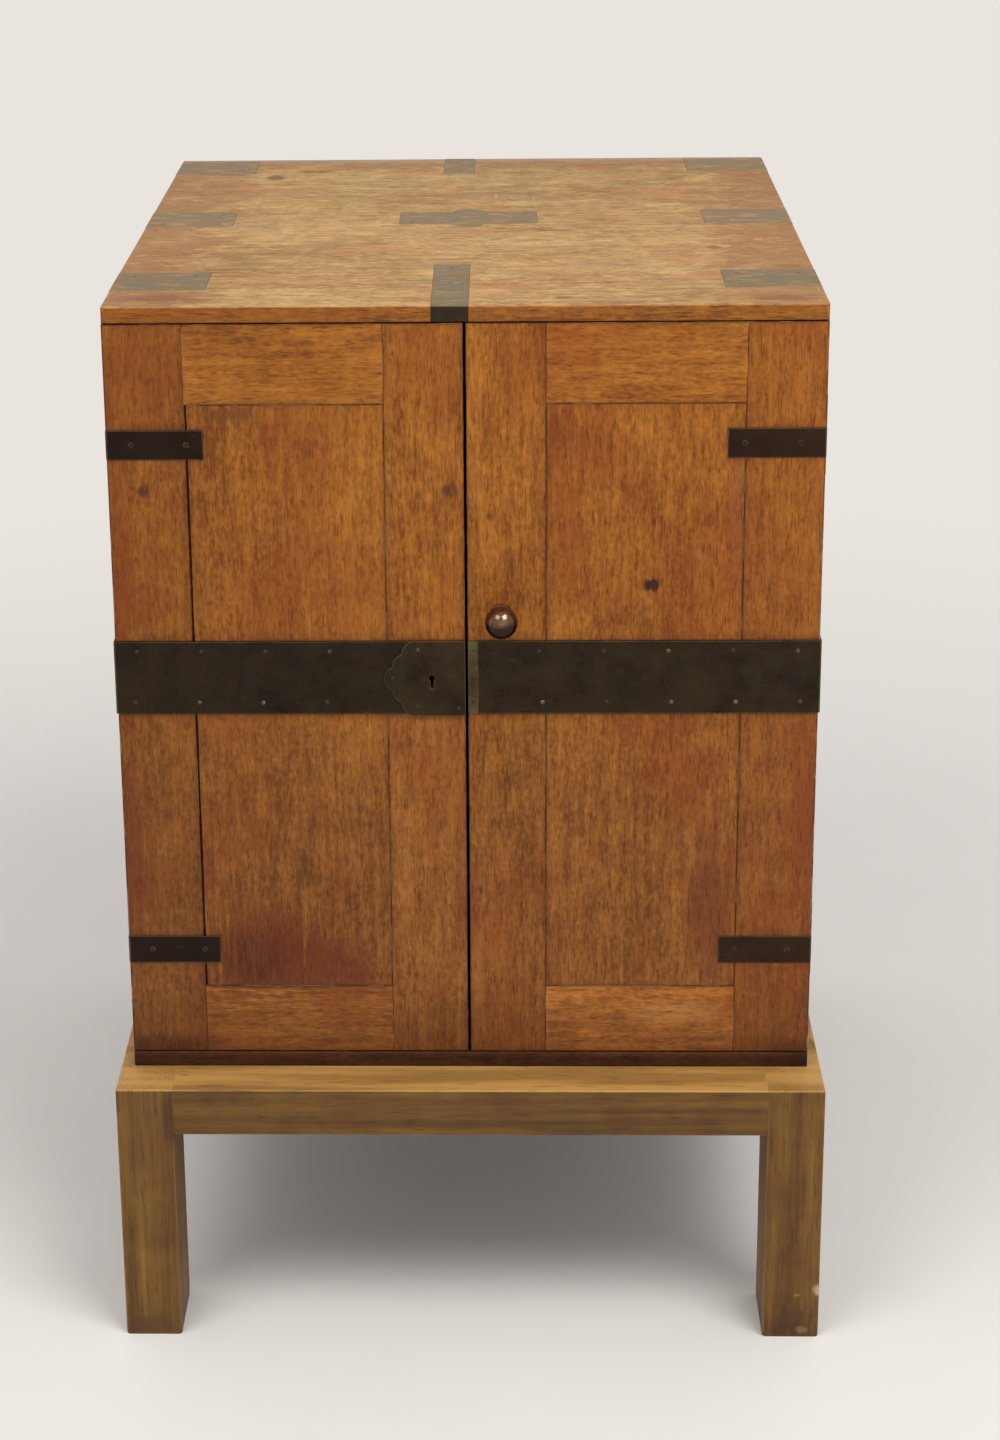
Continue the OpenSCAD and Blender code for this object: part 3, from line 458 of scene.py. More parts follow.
def top_finish(name, seed):
    """Faded, greyed wood of the top; its edges keep the colour of the doors."""
    f = Wood(name, X, seed, 1.15)
    grey = f.cloud(9, 3, 0.65, (1, 2.6, 1), (2.1, 0.4, 0)).ease(0.50, 0.74)
    pink = f.cloud(12, 2, 0.6, (1, 3, 1), (5.1, 1.4, 0)).ease(0.50, 0.72)
    inside = (f.axes[X] - TOP_LOW[X]).least(TOP_HIGH[X] - f.axes[X]).least((TOP_HIGH[Y] - f.axes[Y]) * 1.4)
    worn = (inside + f.blotch.swing(0.12) + grey.swing(0.03)).ease(0.085, 0.010)
    cloud = f.cloud(33, 4, 0.66, (1, 1.6, 1), (1.7, 8.4, 0))
    scratch = f.cloud(420, 1, 0.4, (1, 0.03, 1), turn=(0, 0, 0.6)).ease(0.71, 0.75)
    back = (f.axes[Y] + f.blotch.swing(0.02)).ease(TOP_HIGH[Y] - 24 * MM, TOP_HIGH[Y] - 4 * MM)
    faded = f.layered(f.blend(f.tone, f.wood.top_dark, f.wood.top_light), [
        (grey * 0.6, f.wood.top_grey),
        (pink * 0.6, f.wood.top_pink),
        (worn * 0.6, shaded(f.wood.top_pink, 0.80)),
        (cloud.ease(0.56, 0.72) * 0.45, shaded(f.wood.top_dark, 0.92)),
        (cloud.ease(0.44, 0.30) * 0.45, shaded(f.wood.top_light, 1.08)),
        (scratch * grey.ease(0.1, 0.6) * 0.5, shaded(f.wood.top_light, 1.1)),
        (f.pore * 0.3, shaded(f.wood.dirt_and_shade, 1.8)),
    ])
    for x, y, wide, deep, strength in TOP_MARKS:
        at = f.spot((x, y, TOP_HIGH[Z]), (wide, deep, 6 * MM), 1.4, f.streak)
        faded = f.blend(at * strength, faded, shaded(f.wood.dirt_and_shade, 1.7))
    faded = f.layered(faded, [
        (f.speck * 0.4, shaded(f.wood.top_dark, 0.8)),
        (back * 0.4, linear(170, 158, 148)),
    ])
    edge = f.layered(f.blend(f.tone, shaded(f.wood.door_dark, 0.88), shaded(f.wood.door_light, 0.92)), [
        (f.axes[X].ease(0.02, -0.12) * 0.3, shaded(f.wood.door_red, 0.9)),
        (f.pore * 0.5, f.wood.dirt_and_shade),
        # Dirt and painted shade along the seam under the top's front edge
        (f.axes[Z].ease(TOP_LOW[Z] + 1.0 * MM, TOP_LOW[Z]) * 0.7, f.wood.dirt_and_shade),
    ])
    face = f.axes[Z].ease(TOP_HIGH[Z] - 1.6 * MM, TOP_HIGH[Z] - 0.5 * MM)
    rim = f.mark("arris") * (f.blotch + 0.1).ease(0.4, 0.7)
    colour = f.blend(rim * 0.45, f.blend(face, edge, faded), f.wood.top_pink)
    return f.carved(colour, 0.64 + f.streak.swing(0.3) + f.pore * 0.2, 0.25, 0.35 * MM)


def inner_finish(name, along, seed, boards=0):
    """Plainer wood of the inside, the bottom and the back; the bottom board's front edge carries painted
    shade. boards is how many lie side by side.
    """
    f = Wood(name, along, seed)
    share = f.tone
    if boards:
        low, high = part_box("back_boards")
        number = (f.axes[X] - low[X]) * (boards / (high[X] - low[X]))
        whole = f.node("Math", {"operation": "FLOOR"}, {0: number})
        share += f.node("TexWhiteNoise", {"noise_dimensions": "1D"}, {"W": whole}).swing(0.5)
    # Painted shade: the bottom board's front edge, under the doors, is painted the darkest, most of all at
    # its ends
    foot = f.axes[Z].ease(STAND_TOP + 19 * MM, STAND_TOP + 7 * MM)
    ends = (f.axes[X] * f.axes[X]).ease(0.215**2, 0.250**2)
    colour = f.layered(f.blend(share, f.wood.inner_dark, f.wood.inner_light), [
        (f.pore * 0.5, f.wood.dirt_and_shade),
        (foot * 0.9, f.blend(f.tone, linear(34, 14, 9), linear(66, 30, 17))),
        (ends * foot * 0.6, linear(34, 15, 10)),
        (f.mark("arris") * 0.4, f.wood.dirt_and_shade),
    ])
    return f.carved(colour, 0.62 + f.streak.swing(0.2), 0.2, 0.22 * MM)


def stand_finish(name, along, seed, tone, marks):
    """Olive brown wood of the stand, rubbed pale on its upper face, which is also painted lighter as light
    from above.
    """
    f = Wood(name, along, seed, 1.7)
    rings = f.cloud(70, 1, 0.4, squeezed(along, 0.06), (seed, 0, 0)).ease(0.36, 0.62)
    long = f.cloud(230, 3, 0.6, squeezed(along, 0.02), (0, seed, seed))
    share = 0.47 + f.wander.swing(0.8) + long.swing(1.2) + f.streak.swing(0.7) + f.fleck.swing(0.3)
    share = share + f.blotch.swing(0.7) + rings.swing(0.3)
    brown = f.cloud(17, 2, 0.6).ease(0.46, 0.66)
    upper = f.axes[Z].ease(STAND_TOP - 1.4 * MM, STAND_TOP - 0.4 * MM)
    streak = f.cloud(60, 1, 0.5, (0.08, 1, 1), (seed, 0, 0)).ease(0.38, 0.66)
    foot = (f.axes[Z] + f.blotch.swing(0.03)).ease(0.035, 0.0)
    rim = f.mark("arris") * (f.blotch + 0.1).ease(0.35, 0.7)
    colour = f.layered(f.blend(share, shaded(f.wood.stand_dark, tone), shaded(f.wood.stand_light, tone)), [
        (f.speck * 0.12, f.wood.stand_dark),
        (brown * 0.35, shaded(f.wood.foot, tone * 1.12)),
        # Upper face: rubbed varnish and painted light from above
        (upper * (0.48 + streak * 0.5), f.wood.ledge_rub_and_light),
        (f.pore * 0.4, f.wood.dirt_and_shade),
        (foot * 0.4, linear(64, 38, 22)),
        (rim * 0.22, f.wood.ledge_rub_and_light),
    ])
    for x, z, wide, high, screen, strength in marks:
        at = f.spot((x, STAND_FACES[Y][0], z), (wide, 12 * MM, high), 1.2, f.fleck)
        colour = f.blend(at * strength, colour, linear(*screen))
    return f.carved(colour, 0.48 + f.streak.swing(0.3), 0.3, 0.22 * MM)


def patina_finish(name, tone, green, seed, rub=0.55, red=0.0):
    """Dark brass of the bands, straps and hinges, with rubbed rims; a high rub, as on the lock plate, also
    stands for a painted highlight along the rims.
    """
    f = Finish(name)
    cloud = f.cloud(34, 4, 0.65, (1, 1, 1), (seed, seed, 0))
    fine = f.cloud(420, 3, 0.6)
    rubs = f.cloud(380, 2, 0.6, (0.2, 0.2, 1), (seed, 1.3, 0)).ease(0.66, 0.8)
    bloom = f.cloud(60, 3, 0.7).ease(0.5, 0.72)
    share = cloud.swing(2.6) + 0.5 + fine.swing(0.9)
    colour = f.layered(f.blend(share, shaded(f.brass.patina_deep, tone), shaded(f.brass.patina, tone)), [
        (bloom * green, shaded(f.brass.green, tone)),
        (red * (cloud + 0.3), shaded(linear(66, 36, 20), tone)),
        (f.mark("arris") * (cloud + 0.15).ease(0.38, 0.68) * rub, f.brass.rim),
        (rubs * 0.25, f.brass.rim),
    ])
    normal = f.bump(cloud * 0.8 + fine * 0.2, 0.5 * MM, 0.6)
    return f.done(colour, 0.5 + cloud.swing(0.4) + fine.swing(0.15), normal, 0.45, 0.2)


def top_brass_finish(name, seed):
    """Dull, dusty brass let into the top; below the top's arris it is as dark as the bands."""
    f = Finish(name)
    cloud = f.cloud(46, 4, 0.65, (1, 2, 1), (seed, 0, 0))
    fine = f.cloud(480, 3, 0.6)
    dust = f.cloud(30, 3, 0.7, (1, 2, 1), (seed, 3, 0)).ease(0.48, 0.66)
    light = f.cloud(55, 3, 0.7, (1, 3, 1), (seed, 5, 0)).ease(0.52, 0.64)
    down = f.axes[Z].ease(TOP_HIGH[Z] - 0.6 * MM, TOP_HIGH[Z] - 1.8 * MM)
    colour = f.layered(f.blend(cloud.swing(2.0) + 0.5, f.brass.top_grey, f.brass.top), [
        (dust * 0.75, shaded(f.wood.top_dark, 1.04)),
        (light * 0.5, shaded(f.wood.top_light, 0.95)),
        (fine.ease(0.58, 0.72) * 0.35, shaded(f.brass.patina, 1.5)),
        (f.axes[Y].ease(-0.10, -0.20) * 0.30, shaded(f.brass.top_grey, 0.78)),
        (down, f.blend(cloud, f.brass.patina_deep, shaded(f.brass.patina, 1.1))),
    ])
    normal = f.bump(cloud * 0.7 + fine * 0.3, 0.5 * MM, 0.6)
    return f.done(colour, 0.55 + cloud.swing(0.3), normal, 0.3, 0.25)


def rubbed_finish(name, colour, metallic=0.9, rough=0.28, shade_level=None):
    """Handled brass, brighter where hands reach it. Below a height, if one is given, it is darker: tarnish,
    and painted shade for the dark lower half of a polished ball.
    """
    f = Finish(name)
    cloud = f.cloud(120, 4, 0.65)
    fine = f.cloud(900, 2, 0.6)
    shade = f.blend(cloud.swing(2.2) + 0.45, shaded(colour, 0.62), shaded(colour, 1.08))
    if shade_level is not None:
        # Darker below the height: tarnish and painted shade
        above = (f.axes[Z] + cloud.swing(4 * MM)).ease(shade_level - 1.5 * MM, shade_level + 4.5 * MM)
        shade = f.blend(above, shaded(colour, 0.42), shade)
    shade = f.blend(fine.ease(0.62, 0.74) * 0.5, shade, f.brass.patina_deep)
    normal = f.bump(cloud * 0.6 + fine * 0.4, 0.15 * MM, 0.5)
    return f.done(shade, rough + cloud.swing(0.22) + fine.swing(0.1), normal, metallic)


def fixing_finish(name, colour, slotted):
    """Heads of the screws and pins, some of them dulled, and a screw's slot painted dark with grime and
    painted shade.
    """
    f = Finish(name)
    cloud = f.cloud(260, 3, 0.6)
    dulled = f.cloud(31, 1).ease(0.42, 0.52)
    shade = f.blend(cloud.ease(0.35, 0.65), shaded(colour, 0.75), shaded(colour, 1.1))
    shade = f.blend(dulled * 0.9, shade, f.brass.patina)
    if slotted:
        # The slot is painted dark: grime and painted shade in the recess
        shade = f.blend(f.mark("slot_dirt_and_shade") * 0.85, shade, shaded(f.brass.patina_deep, 0.6))
    return f.done(shade, 0.38 + cloud.swing(0.3), metallic=0.7)


def iron_finish(name):
    """Lock case: dull iron with rust."""
    f = Finish(name)
    cloud = f.cloud(90, 4, 0.65)
    fine = f.cloud(700, 3, 0.6)
    shade = f.blend(cloud.ease(0.35, 0.7), shaded(f.brass.iron, 0.8), f.brass.iron)
    shade = f.blend((cloud + fine.swing(0.6)).ease(0.56, 0.7) * 0.7, shade, linear(94, 54, 32))
    return f.done(shade, 0.5 + cloud.swing(0.3), f.bump(fine, 0.2 * MM, 0.6), 0.7)


def mode(name):
    bpy.ops.object.mode_set(mode=name)


def paint(piece, material):
    """Makes a material the only one of a piece."""
    piece.data.materials.clear()
    piece.data.materials.append(material)


def alone(piece):
    """Makes a piece the only one that is selected, and the active one."""
    bpy.ops.object.select_all(action="DESELECT")
    piece.select_set(True)
    bpy.context.view_layer.objects.active = piece


def pick_faces(piece, test):
    """In edit mode, selects just the faces for which test(face) is true."""
    bpy.ops.mesh.select_mode(type="FACE")
    bpy.ops.mesh.select_all(action="DESELECT")
    mode("OBJECT")
    for face in piece.data.polygons:
        face.select = test(face)
    mode("EDIT")


def modify(piece, kind, **settings):
    """Adds a modifier and applies it."""
    alone(piece)
    modifier = piece.modifiers.new(kind.title(), kind)
    for name, value in settings.items():
        setattr(modifier, name, value)
    bpy.ops.object.modifier_apply(modifier=modifier.name)


def face_mark(piece, name, test):
    """Writes a number on each face, 1 where test(face) is true."""
    values = [float(test(face)) for face in piece.data.polygons]
    piece.data.attributes.new(name, "FLOAT", "FACE").data.foreach_set("value", values)


def long_axis(node):
    low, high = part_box(node)
    size = high - low
    return max(AXES, key=lambda i: size[i])


def outer_face(node, sign):
    """Lowest and highest corner of a node, and where on x its outer face lies."""
    low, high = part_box(node)
    return low, high, high[X] if sign > 0 else low[X]


def strap_middles(node, axis):
    """The middles, along an axis, of the separate straps in a node."""
    apart = 70 * MM
    values = sorted({round(v.co[axis], 5) for v in frame["nodes"][node].data.vertices})
    groups = [[values[0]]]
    for before, value in zip(values, values[1:]):
        if value - before > apart:
            groups.append([])
        groups[-1].append(value)
    return [(group[0] + group[-1]) / 2 for group in groups]


def cut_places(node, along, step):
    """Where along a node to cut its faces, about a step apart, so that the wear can change there."""
    low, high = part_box(node)
    size = (high - low)[along]
    count = int(size / step)
    corners = {round(v.co[along], 5) for v in frame["nodes"][node].data.vertices}
    places = [low[along] + size * (i + 0.5) / count for i in range(count)]
    return [at for at in places if all(abs(at - corner) > 1.5 * MM for corner in corners)]


def faces_met(low, high, faces, near):
    """How many of the outer faces an edge lies in. low and high are its lowest and highest corners."""
    return sum(
        any(abs(low[i] - face) < near and abs(high[i] - face) < near for face in faces[i]) for i in AXES
    )


def waviness(point):
    """How much more or less than its width an arris is worn at a point."""
    knocks = max(0, noise.noise(point * 130) - 0.25)
    return 1 + 0.55 * noise.noise(point * 45) + 0.5 * knocks


def worn_copy(
    node, slot, finish, arris, corner=None, step=0.0, seed=0.0, faces=CHEST_FACES, near=0.05 * MM, cuts=()
):
    """Makes a copy of a CAD node with its arrises worn, which stands for the node.

    arris is the width of a plain arris, and corner of one that lies in two of the faces. Either may be
    a function of the edge's lowest and highest corners. A corner's wear changes at each step.
    """
    source = frame["nodes"][node]
    piece = bpy.data.objects.new(node + "_worn", source.data.copy())
    bpy.context.scene.collection.objects.link(piece)
    paint(piece, finish)
    # The second slot tells the bevel's own faces from the rest
    piece.data.materials.append(finish)
    alone(piece)
    bpy.ops.mesh.customdata_custom_splitnormals_clear()
    planes = list(cuts)
    if step:
        along = long_axis(node)
        planes += [(along, at) for at in cut_places(node, along, step)]
    mode("EDIT")
    bpy.ops.mesh.select_mode(type="VERT")
    bpy.ops.mesh.select_all(action="SELECT")
    bpy.ops.mesh.remove_doubles(threshold=0.01 * MM)
    bpy.ops.mesh.dissolve_limited(angle_limit=math.radians(0.5))
    for axis, at in planes:
        normal = Vector([i == axis for i in AXES])
        bpy.ops.mesh.select_all(action="SELECT")
        bpy.ops.mesh.bisect(plane_co=normal * at, plane_no=normal)
    mode("OBJECT")
    shape = bmesh.new()
    shape.from_mesh(piece.data)
    sharp = math.radians(35)
    widths = []
    for edge in shape.edges:
        width = 0.0
        if len(edge.link_faces) == 2 and edge.calc_face_angle_signed(0) > sharp:
            a, b = (v.co for v in edge.verts)
            ends = [[pick(a[i], b[i]) for i in AXES] for pick in (min, max)]
            width = arris(*ends) if callable(arris) else arris
            if width and corner and faces_met(*ends, faces, near) >= 2:
                width = corner(*ends) if callable(corner) else corner
                width *= waviness((a + b) / 2 + Vector((seed, 0, 0)))
        widths.append(width)
    shape.free()
    widest = max(widths)
    weights = piece.data.attributes.new("bevel_weight_edge", "FLOAT", "EDGE")
    weights.data.foreach_set("value", [width / widest for width in widths])
    modify(
        piece, "BEVEL", limit_method="WEIGHT", width=widest, segments=3 if widest > 0.5 * MM else 2,
        use_clamp_overlap=False, material=1, miter_outer="MITER_SHARP",
    )
    face_mark(piece, "arris", lambda face: face.material_index == 1)
    for face in piece.data.polygons:
        face.material_index = 0
    piece.data.materials.pop(index=1)
    bpy.ops.object.shade_smooth_by_angle(angle=math.radians(40))
    modify(piece, "WEIGHTED_NORMAL", keep_sharp=True, weight=60)
    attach(piece, source["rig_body"])
    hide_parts(node)


class ChestOperator:
    """What the operators of this chest share."""

    bl_options = {"REGISTER"}

    def execute(self, context):
        self.build(context.scene)
        return {"FINISHED"}


class CHEST_OT_stage(ChestOperator, bpy.types.Operator):
    """Sets up the floor, the lamps and the camera"""

    bl_idname = "chest.stage"
    bl_label = "Stage"

    def build(self, scene):
        stage = scene.chest_stage
        self.camera(scene)
        self.floor(stage)
        self.world(scene)
        self.lamp("key", (1.00, -1.42, 2.7), stage.key)
        self.lamp("fill", (-1.05, -1.42, 2.7), stage.fill)
        scene.view_settings.view_transform = "Standard"

    def camera(self, scene):
        """The camera that was fitted to the corners of the chest in the photo."""
        right, down, roll = (math.radians(angle) for angle in (-1.616, 17.155, 0.691))
        turn = Matrix.Rotation(-right, 3, "Z") @ Matrix.Rotation(math.pi / 2 - down, 3, "X")
        turn @= Matrix.Rotation(-roll, 3, "Z")
        bpy.ops.object.camera_add(location=(0.0278, -2.1759, 1.2531), rotation=turn.to_euler())
        scene.camera = bpy.context.object
        lens = scene.camera.data
        lens.sensor_width = 36
        lens.lens = 71.162
        lens.shift_x = 0.05
        lens.shift_y = -0.16

    def floor(self, stage):
        """A floor of paper, which goes over into the backdrop away from the chest."""
        bpy.ops.mesh.primitive_plane_add(size=40, location=(0, 0, 0))
        floor = bpy.context.object
        floor.name = "floor"
        f = Finish("paper_floor")
        colour = f.blend(f.cloud(5, 3, 0.6), shaded(stage.floor, 0.985), shaded(stage.floor, 1.01))
        paper = {"Base Color": colour, "Roughness": 0.8, "Specular IOR Level": 0.2}
        light = {"Color": stage.backdrop, "Strength": 1.0}
        far = f.length(f.place).ease(0.55, 2.0) * f.seen()
        f.surface("Material", far, f.node("BsdfPrincipled", None, paper), f.node("Emission", None, light))
        floor.data.materials.append(f.material)
        floor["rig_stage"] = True

    def world(self, scene):
        """Soft light from all round, while the camera sees the backdrop."""
        scene.world = bpy.data.worlds.new("studio")
        w = Nodes(scene.world)
        stage = scene.chest_stage
        light = w.node("Background", None, {"Color": (1.0, 0.985, 0.965), "Strength": stage.ambient})
        backdrop = w.node("Background", None, {"Color": stage.backdrop, "Strength": 1.0})
        w.surface("World", w.seen(), light, backdrop)

    def lamp(self, name, place, power):
        aim = Vector((0, 0, 0.45)) - Vector(place)
        turn = aim.to_track_quat("-Z", "Y").to_euler()
        bpy.ops.object.light_add(type="AREA", location=place, rotation=turn)
        lamp = bpy.context.object
        lamp.name = name
        lamp.data.size = 1.3
        lamp.data.energy = power
        lamp.data.color = (1.0, 0.985, 0.96)


class CHEST_OT_stand(ChestOperator, bpy.types.Operator):
    """Wears the legs and rails of the stand"""

    bl_idname = "chest.stand"
    bl_label = "Stand"

    # How light each piece is
    tones = {
        "leg_front_left": 1.02, "leg_front_right": 1.02, "leg_back_left": 1.02, "leg_back_right": 1.02,
        "front_rail": 0.90, "back_rail": 0.89, "side_rail_left": 0.89, "side_rail_right": 0.89,
    }
    # Pale and dark spots: x, z, half width, half height, colour and strength
    marks = {
        "leg_front_right": [
            (0.262, 0.040, 0.005, 0.007, (196, 168, 134), 0.8),
            (0.246, 0.036, 0.004, 0.002, (160, 128, 92), 0.5),
            (0.242, 0.012, 0.022, 0.018, (70, 42, 26), 0.6),
            (0.250, 0.006, 0.006, 0.004, (150, 120, 90), 0.5),
        ],
        "leg_front_left": [(-0.242, 0.008, 0.022, 0.010, (78, 52, 30), 0.5)],
        "front_rail": [(0.02, 0.196, 0.20, 0.008, (92, 58, 32), 0.35)],
    }

    def build(self, scene):
        wear = scene.chest_wear
        side_rail_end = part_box("stand_side_rail_left")[1][Y]

        def arris(low, high):
            """None at the floor, and slight where a leg meets a rail."""
            if high[Z] < 4 * MM:
                return 0.0
            if low[Z] > RAIL_FOOT - 1 * MM and high[Z] - low[Z] > 1 * MM:
                between = abs(low[Y]) < side_rail_end + 1 * MM and high[X] - low[X] < 1 * MM
                if between or abs(abs(low[X]) - LEG_INNER) < 1 * MM:
                    return wear.seam * 0.6
            return wear.stand * 0.7

        wood = "stand_wood"
        for number, (board, tone) in enumerate(self.tones.items()):
            node = "stand_" + board
            marks = self.marks.get(board, [])
            finish = stand_finish(node + "_wood", long_axis(node), 4.3 + 1.7 * number, tone, marks)
            cuts = [(Z, RAIL_FOOT)] if board.startswith("leg") else []
            worn_copy(
                node, wood, finish, arris, wear.stand, BOARD_STEP, number * 3.1, STAND_FACES, cuts=cuts
            )


class CHEST_OT_case(ChestOperator, bpy.types.Operator):
    """Wears the boards of the case: top, bottom, sides, back and shelves"""

    bl_idname = "chest.case"
    bl_label = "Case"

    def build(self, scene):
        wear = scene.chest_wear

        def top_corner(low, high):
            return wear.top_corner if high[Z] - low[Z] > 2 * MM else wear.top_edge

        finish = top_finish("top_board_wood", 2.2)
        worn_copy("top_board", "top_wood", finish, wear.seam, top_corner, BOARD_STEP, 1.0)
        finish = inner_finish("bottom_board_wood", X, 6.1)
        worn_copy("bottom_board", "inner_wood", finish, wear.seam, wear.corner, BOARD_STEP, 2.0)
        for number, side in enumerate(SIDES):
            node = "side_" + side
            low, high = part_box(node)
            limits = [(i, low[i], high[i]) for i in (Y, Z)]
            finish = door_finish(node + "_wood", Z, 11.3 + 2.9 * number, 0.97, limits)
            worn_copy(node, "carcass_wood", finish, wear.seam, wear.corner, BOARD_STEP, 3.0 + number)
        inside = [("back_boards", Z, BACK_BOARDS), ("upper_shelf", X, 0), ("lower_shelf", X, 0)]
        for number, (node, along, boards) in enumerate(inside):
            finish = inner_finish(node + "_wood", along, 15.7 + 3.3 * number, boards)
            worn_copy(node, "inner_wood", finish, wear.seam)


class CHEST_OT_doors(ChestOperator, bpy.types.Operator):
    """Wears the stiles, rails and panels of both doors"""

    bl_idname = "chest.doors"
    bl_label = "Doors"

    # How light each piece of the left and of the right door is, and how much redder
    tones = {
        "outer_stile": (0.88, 0.95), "inner_stile": (0.96, 0.97), "top_rail": (0.95, 1.01),
        "bottom_rail": (1.07, 1.20), "panel": (0.94, 0.98),
    }
    reds = {"outer_stile": (0.12, 0.24), "panel": (0.0, 0.06)}
    # Knots and stains, and one painted highlight (the pale golden patch on the right bottom rail): x, z,
    # half width, half height, colour and strength
    marks = [
        (0.132, 0.590, 0.008, 0.007, (60, 28, 16), 1.4),
        (-0.011, 0.661, 0.009, 0.007, (88, 46, 23), 0.9),
        (-0.2275, 0.661, 0.007, 0.007, (82, 44, 23), 0.9),
        (-0.152, 0.304, 0.062, 0.056, (94, 34, 14), 0.72),
        (-0.108, 0.290, 0.064, 0.036, (98, 42, 20), 0.56),
        (-0.164, 0.294, 0.034, 0.034, (64, 24, 14), 0.46),
        (0.176, 0.335, 0.020, 0.085, (90, 46, 26), 0.55),
        (-0.247, 0.600, 0.014, 0.130, (122, 52, 18), 0.45),
        (-0.247, 0.380, 0.016, 0.120, (104, 46, 24), 0.5),
        (-0.247, 0.225, 0.080, 0.014, (58, 30, 18), 0.6),
        (0.247, 0.222, 0.040, 0.014, (70, 34, 22), 0.5),
        # Painted highlight: the pale golden patch on the right bottom rail
        (0.150, 0.252, 0.040, 0.012, (176, 126, 66), 0.5),
        (0.244, 0.420, 0.016, 0.110, (122, 54, 24), 0.5),
        (-0.164, 0.717, 0.030, 0.008, (100, 56, 26), 0.6),
        (0.0, 0.344, 0.014, 0.045, (124, 52, 34), 0.5),
        (0.190, 0.655, 0.012, 0.060, (136, 70, 40), 0.4),
    ]

    def build(self, scene):
        wear = scene.chest_wear
        pieces = [(door, side, part) for door, side in enumerate(SIDES) for part in self.tones]
        for number, (door, side, part) in enumerate(pieces):
            node = f"{side}_door_{part}"
            low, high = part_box(node)
            along = X if part.endswith("rail") else Z
            inset = 7 * MM if part == "panel" else 0.0
            limits = [(i, low[i] + inset, high[i] - inset) for i in (Z, X) if i == Z or along == Z]
            marks = [mark for mark in self.marks if self.meets(mark, low, high)]
            plates = [plate for plate in self.plates(side) if plate[0][0] < high[X] and plate[1][0] > low[X]]
            tone = self.tones[part][door]
            red = self.reds.get(part, (0.0, 0.0))[door]
            seed = 21.7 + 2.3 * number
            finish = door_finish(node + "_wood", along, seed, tone, limits, marks, plates, red)
            step = BOARD_STEP if part == "outer_stile" else 0.0
            worn_copy(node, "door_wood", finish, wear.seam, wear.corner, step, 5.0 + number, near=0.2 * MM)

    def meets(self, mark, low, high):
        """Whether a mark lies over a board with these lowest and highest corners."""
        x, z, wide, tall = mark[:4]
        return low[X] - wide < x < high[X] + wide and low[Z] - tall < z < high[Z] + tall

    def plates(self, side):
        """Lowest and highest x and z of the band and the straps on the front of a door."""
        low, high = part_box(side + "_door_band")
        yield (low[X], low[Z]), (high[X], high[Z])
        low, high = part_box(side + "_door_straps")
        half = STRAP_WIDE / 2
        for height in strap_middles(side + "_door_straps", Z):
            yield (low[X], height - half), (high[X], height + half)


class CHEST_OT_brass(ChestOperator, bpy.types.Operator):
    """Wears the bands, straps and plates"""

    bl_idname = "chest.brass"
    bl_label = "Brass"

    # How light each piece of the dark brass is
    dark = {
        "side_band_left": 1.0, "side_band_right": 1.0, "side_straps_left": 0.9, "side_straps_right": 0.9,
        "left_door_band": 0.92, "right_door_band": 1.0, "left_door_straps": 0.70, "right_door_straps": 0.88,
        "lock_plate": 1.08,
    }
    # Brass let into the top
    top = ["top_straps_left", "top_straps_right", "top_strap_front", "top_strap_back", "top_plate"]

    def build(self, scene):
        pieces = []
        for number, (node, tone) in enumerate(self.dark.items()):
            # The lock plate's rims are rubbed pale, and painted paler still as a highlight along its lobed
            # outline
            rub = 0.95 if node == "lock_plate" else 0.55
            green, red = (0.0, 0.45) if "door_straps" in node else (0.35, 0.0)
            finish = patina_finish(node + "_brass", tone, green, number * 1.9, rub, red)
            pieces.append((node, "dark_brass", finish))
        finish = patina_finish("strike_plate_brass", 1.75, 0.9, 31.0, 0.8)
        pieces.append(("strike_plate", "worn_brass", finish))
        for number, node in enumerate(self.top):
            pieces.append((node, "top_brass", top_brass_finish(node + "_brass", number * 2.7)))
        wear = scene.chest_wear
        for number, (node, slot, finish) in enumerate(pieces):
            worn_copy(
                node, slot, finish, wear.sheet, wear.sheet_bend, SHEET_STEP, number * 2.0, near=1.6 * MM
            )


def door_band_pins(side, sign):
    low, high, face = outer_face(side + "_door_band", sign)
    rows = ((high[Z] - 7.5 * MM, 0.0), (low[Z] + 8.5 * MM, 2.5 * MM))
    first = 52 * MM
    pitch = 46.2 * MM
    for height, shift in rows:
        # The lock plate takes the place of the left door's first pin
        for number in range(0 if sign > 0 else 1, 5):
            yield (sign * (first + pitch * number + shift), low[Y], height), FRONT
    for height, _ in rows:
        yield (face, (low[Y] + high[Y]) / 2, height), (sign, 0, 0)


def door_strap_screws(side, sign):
    node = side + "_door_straps"
    low, high, face = outer_face(node, sign)
    for height in strap_middles(node, Z):
        for inward in (18 * MM, 57 * MM):
            yield (face - sign * inward, low[Y], height), FRONT
        yield (face, (low[Y] + high[Y]) / 2, height), (sign, 0, 0)


def side_band_pins(side, sign):
    low, high, face = outer_face("side_band_" + side, sign)
    count = 11
    end = 12 * MM
    for height in (high[Z] - 7.5 * MM, low[Z] + 8.5 * MM):
        for number in range(count):
            y = low[Y] + end + (high[Y] - low[Y] - 2 * end) * number / (count - 1)
            yield (face, y, height), (sign, 0, 0)
        for inward in (14 * MM, 56 * MM):
            yield (face - sign * inward, high[Y], height), BACK


